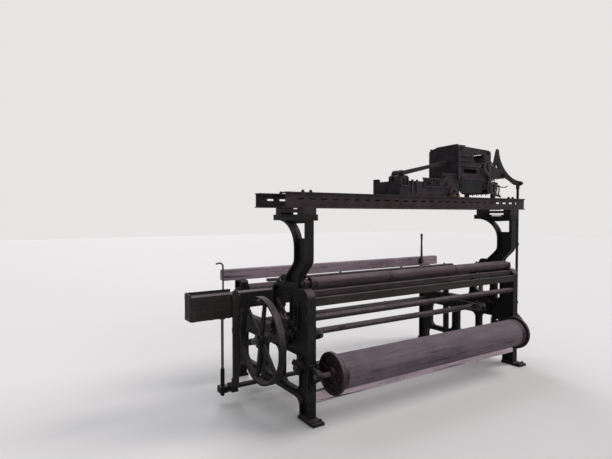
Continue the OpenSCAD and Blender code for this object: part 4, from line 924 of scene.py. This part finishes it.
# %% Dobby bolts
dobby_nuts = []
for y, way in ((BED_Y0, NEAR), (BED_Y1, AWAY)):
    for x, z in ((WALL_X + 0.060, WALL_TOP - 0.040), (PLATE_END - 0.040, WALL_TOP - 0.050),
                 (WALL_X + 0.060, 1.836), (PLATE_END - 0.040, 1.836)):
        dobby_nuts.append(((x, y, z), way, 0.015))
    for x in (0.020, 0.130, 0.240, 0.760, 0.905):
        dobby_nuts.append(((x, y if x > 0.1 or way == AWAY else y - 0.009, 1.779), way, 0.013))
for x in (0.282, 0.358):
    dobby_nuts.append(((x, BED_Y0 - 0.023, 1.680), UP, 0.014))
for x, y, z, half in ((0.320, BED_Y0 - 0.016, 1.716, 0.016), (-0.140, BED_Y0, 1.700, 0.012),
                      (0.210, BED_Y0, 1.842, 0.012)):
    dobby_nuts.append(((x, y, z), NEAR, half))
bolts("dobby_nuts", dobby_nuts, "frame")

# %% [markdown]
# ## Sley and shuttle boxes: straps, nails and guide rod
# The sley is timber held by iron: straps where the swords are bolted on, hoops on the boxes, and a tall
# guide rod with a hooked end behind the drop box. The sticks sweep close past the boxes, so straps and
# nails there are let in flush. The nails come from a tree that sets a round head on each point.

# %% Iron straps on the drop box
INLAY, FLAT_DOME = 0.0004, 0.08
X_LEFT, BOX_Y, BOX_BACK, BOX_LOW, RACE_Z, STRAP_WIDE = -1.900, 0.135, 0.267, 0.682, 0.870, 0.024
hoops, box_nails = bmesh.new(), []
for x in (-1.884, -1.740, -1.600):
    x1 = x + STRAP_WIDE
    add_block(hoops, (x, BOX_Y - INLAY, BOX_LOW + 0.002), (x1, BOX_Y + 0.0005, RACE_Z - 0.012), 0)
    add_block(hoops, (x, BOX_Y + 0.003, BOX_LOW - 0.003), (x1, BOX_BACK + 0.001, BOX_LOW + 0.0005), 0.0008)
    for z in (0.700, 0.745, 0.790, 0.838):
        box_nails.append(((x + STRAP_WIDE / 2, BOX_Y - INLAY / 2, z), NEAR, 0.0055))
for z0, z1 in ((0.690, 0.712), (0.846, 0.868)):
    add_block(hoops, (X_LEFT - 0.003, BOX_Y + 0.004, z0), (X_LEFT + 0.0005, BOX_BACK - 0.004, z1), 0.0008)
    for y in (0.155, 0.247):
        box_nails.append(((X_LEFT - 0.003, y, (z0 + z1) / 2), LEFT, 0.0055))
for x in (-1.845, -1.790, -1.690, -1.640):
    for z in (0.697, 0.757, 0.817):
        box_nails.append(((x, BOX_Y, z), NEAR, 0.0035))
piece_of(hoops, "drop_box_straps", ROLLED_IRON, "drop_box_set")
nails("drop_box_nails", box_nails, "drop_box_set", FLAT_DOME)

# %% Guide rod with a hooked end
rod = bmesh.new()
gx, gy = -1.566, 0.298
bend = ((0.0, 0.715), (0.0, 0.900), (0.0, 1.074), (0.004, 1.092), (0.015, 1.103), (0.032, 1.106),
        (0.060, 1.101))
add_sweep(rod, [(gx - left, gy, z) for left, z in bend], 0.0075, 12)
for z in (0.730, 0.860):
    add_block(rod, (gx - 0.020, 0.286, z), (gx + 0.020, gy + 0.010, z + 0.022), 0.002)
piece_of(rod, "box_guide_rod", SHAFT_STEEL, "sley")

# %% Straps and nuts on the sley
SWORD_X, BRACKET_X, STRAP_Y, HOOP_Y, BEAM_Y, RACE_Y = 1.054, 1.190 / 3, 0.166, 0.1665, 0.1705, 0.164
sley_straps, sley_nuts, sley_nails, flat_nails = bmesh.new(), [], [], []
for x in (-SWORD_X, SWORD_X):
    add_block(sley_straps, (x - 0.026, STRAP_Y, 0.744), (x + 0.026, BEAM_Y, 0.854), 0.001)
    sley_nuts += [((x, STRAP_Y, z), NEAR, 0.013) for z in (0.765, 0.799, 0.833)]
for x in (-1.480, 1.480):
    add_block(sley_straps, (x - 0.020, HOOP_Y, 0.742), (x + 0.020, BEAM_Y, 0.856), 0.001)
    sley_nails += [((x, HOOP_Y, z), NEAR, 0.006) for z in (0.760, 0.838)]
for x in (-SWORD_X, -BRACKET_X, BRACKET_X, SWORD_X):
    sley_nuts += [((x, 0.226, z), NEAR, 0.0085) for z in (0.886, 0.914)]
    sley_nuts.append(((x, 0.2425, 0.955), UP, 0.010))
for x in (1.545, 1.700, 1.860):
    add_block(sley_straps, (x, BOX_Y - INLAY, 0.862), (x + 0.022, BOX_Y + 0.0005, 0.910), 0)
    flat_nails += [((x + 0.011, BOX_Y - INLAY / 2, z), NEAR, 0.005) for z in (0.874, 0.898)]
piece_of(sley_straps, "sley_straps", ROLLED_IRON, "sley")
bolts("sley_nuts", sley_nuts, "sley")
sley_nails += [((-1.407 + k * 0.1005, RACE_Y, 0.864), NEAR, 0.003) for k in range(29)]
nails("sley_nails", sley_nails, "sley")
nails("right_box_nails", flat_nails, "sley", FLAT_DOME)

# %% Leather collars and pin nuts on the picking sticks
for side, body in ((-1, "left_stick"), (1, "right_stick")):
    x0, x1 = span(side, 1.508, 1.562)
    collar = bmesh.new()
    for z in (0.560, 0.700):
        add_block(collar, (x0, 0.1045, z), (x1, 0.1340, z + 0.044), 0.002)
    piece_of(collar, body + "_collars", HIDE, body)
    bolts(body + "_nuts", [((side * 1.535, 0.1077, 0.165), NEAR, 0.017)], body)

# %% [markdown]
# ## Rollers and warp beam
# Wooden rollers split, so their ends are hooped with iron. The hoops are bands of true thickness, shrunk
# over the wood, and the end discs of the warp beam are bolted through to its barrel.

# %% Hoops and disc nuts
WARP_Y, WARP_Z, DISC_BOLTS, DISC_RADIUS = -0.595, 0.356, 5, 0.088
TAKE_UP_Y, CLOTH_Z, HOOP_HALF = 0.650, 0.480, 0.014
for name, body, y, z, r, places in (
        ("back_rest", "back_rest", -0.424, 1.000, 0.0397, (1.150, 0.400)),
        ("cloth_roller", "cloth_roller_set", TAKE_UP_Y, CLOTH_Z, 0.0420, (1.120, 0.560)),
        ("warp_beam", "warp_beam_set", WARP_Y, WARP_Z, 0.1280, (1.050,))):
    hoop = bmesh.new()
    for x in places:
        for side in SIDES:
            add_band(hoop, (side * x - HOOP_HALF, y, z), (side * x + HOOP_HALF, y, z),
                     r - 0.002, r + 0.0022, 64, 0.0008)
    piece_of(hoop, name + "_hoops", ROLLED_IRON, body)

disc_nuts = []
for side in SIDES:
    for k in range(DISC_BOLTS):
        w = math.radians(126 + 360 / DISC_BOLTS * k)
        place = (side * 1.0962, WARP_Y + DISC_RADIUS * math.cos(w), WARP_Z + DISC_RADIUS * math.sin(w))
        disc_nuts.append((place, (side, 0, 0), 0.015))
bolts("warp_disc_nuts", disc_nuts, "warp_beam_set")

# %% [markdown]
# ## Shaft ends, hand wheel and dobby drive
# Each shaft ends in a nut or a keyed hub. A peg bolt stands on the hand wheel's rim, where it can be pulled
# round by hand, and the long rod that drives the dobby has collars where it is joined.

# %% Nuts on shaft ends
ROD_X, ROD_Y, LEVER_PIN_X, LEVER_PIN_Z = 1.490, -0.356, -0.258, 1.850
bolts("crank_nuts", [((1.319, CRANK_Y, CRANK_Z), RIGHT, 0.028), ((-1.504, CRANK_Y, CRANK_Z), LEFT, 0.026),
                     ((-1.490, -0.217, 0.8665), LEFT, 0.015)], "crank", SHAFT_STEEL)
bolts("take_up_nuts", [((1.302, TAKE_UP_Y, 0.800), RIGHT, 0.024), ((-1.276, TAKE_UP_Y, 0.800), LEFT, 0.024)],
      "take_up")
bolts("ratchet_nuts", [((1.318, TAKE_UP_Y, 0.6792), RIGHT, 0.017)], "ratchet")
bolts("cloth_roller_nuts", [((1.278, TAKE_UP_Y, CLOTH_Z), RIGHT, 0.022),
                            ((-1.278, TAKE_UP_Y, CLOTH_Z), LEFT, 0.022)], "cloth_roller_set")
bolts("horn_nuts", [((1.05439, -0.484, 1.896), NEAR, 0.019), ((ROD_X, -0.389, 1.834), NEAR, 0.017)], "horn")
bolts("lever_pin_nuts", [((LEVER_PIN_X, -0.428, LEVER_PIN_Z), NEAR, 0.018),
                         ((LEVER_PIN_X, -0.332, LEVER_PIN_Z), AWAY, 0.018)], "frame")

# %% Keys and cotters
keys = bmesh.new()
add_block(keys, (-1.506, -0.197, 0.588), (-1.470, -0.183, 0.602), 0.001)
piece_of(keys, "wheel_key", SHAFT_STEEL, "crank")
cotters = bmesh.new()
shape = [(-0.229, 0.520), (-0.217, 0.520), (-0.213, 0.606), (-0.231, 0.606)]
for side in SIDES:
    add_plate(cotters, "x", shape, *span(side, 1.009, 1.022), 0.001)
piece_of(cotters, "arm_cotters", SHAFT_STEEL, "connecting_arms")

# %% Collars on the long rod
collars = bmesh.new()
for z in (0.560, 1.180, 1.560):
    add_band(collars, (ROD_X, ROD_Y, z), (ROD_X, ROD_Y, z + 0.030), 0.012, 0.0195, 32, 0.002)
piece_of(collars, "rod_collars", SMALL_IRON, "connecting_rod")

# %% [markdown]
# ## Nails in the planks
# The breast plank and the foot plank are only nailed and pegged. Their nail heads sit a little unevenly, as
# a carpenter leaves them, so each is moved by a small seeded amount.

# %% Plank nails
BREAST_Y, FOOT_Y, BIG_NAIL = 0.660, -0.520, 0.0042
random.seed(7)
plank_nails = []
for k in range(15):
    x = -1.33 + k * 0.19
    for z in (0.922, 0.978):
        place = (x + random.uniform(-0.012, 0.012), BREAST_Y, z + random.uniform(-0.004, 0.004))
        plank_nails.append((place, NEAR, BIG_NAIL))
for k in range(12):
    x = -1.15 + k * 0.209
    for z, half in ((0.150 + 0.045 * (k % 2), BIG_NAIL), (0.869, 0.0038)):
        plank_nails.append(((x + random.uniform(-0.015, 0.015), FOOT_Y, z), NEAR, half))
nails("plank_nails", plank_nails, "frame")
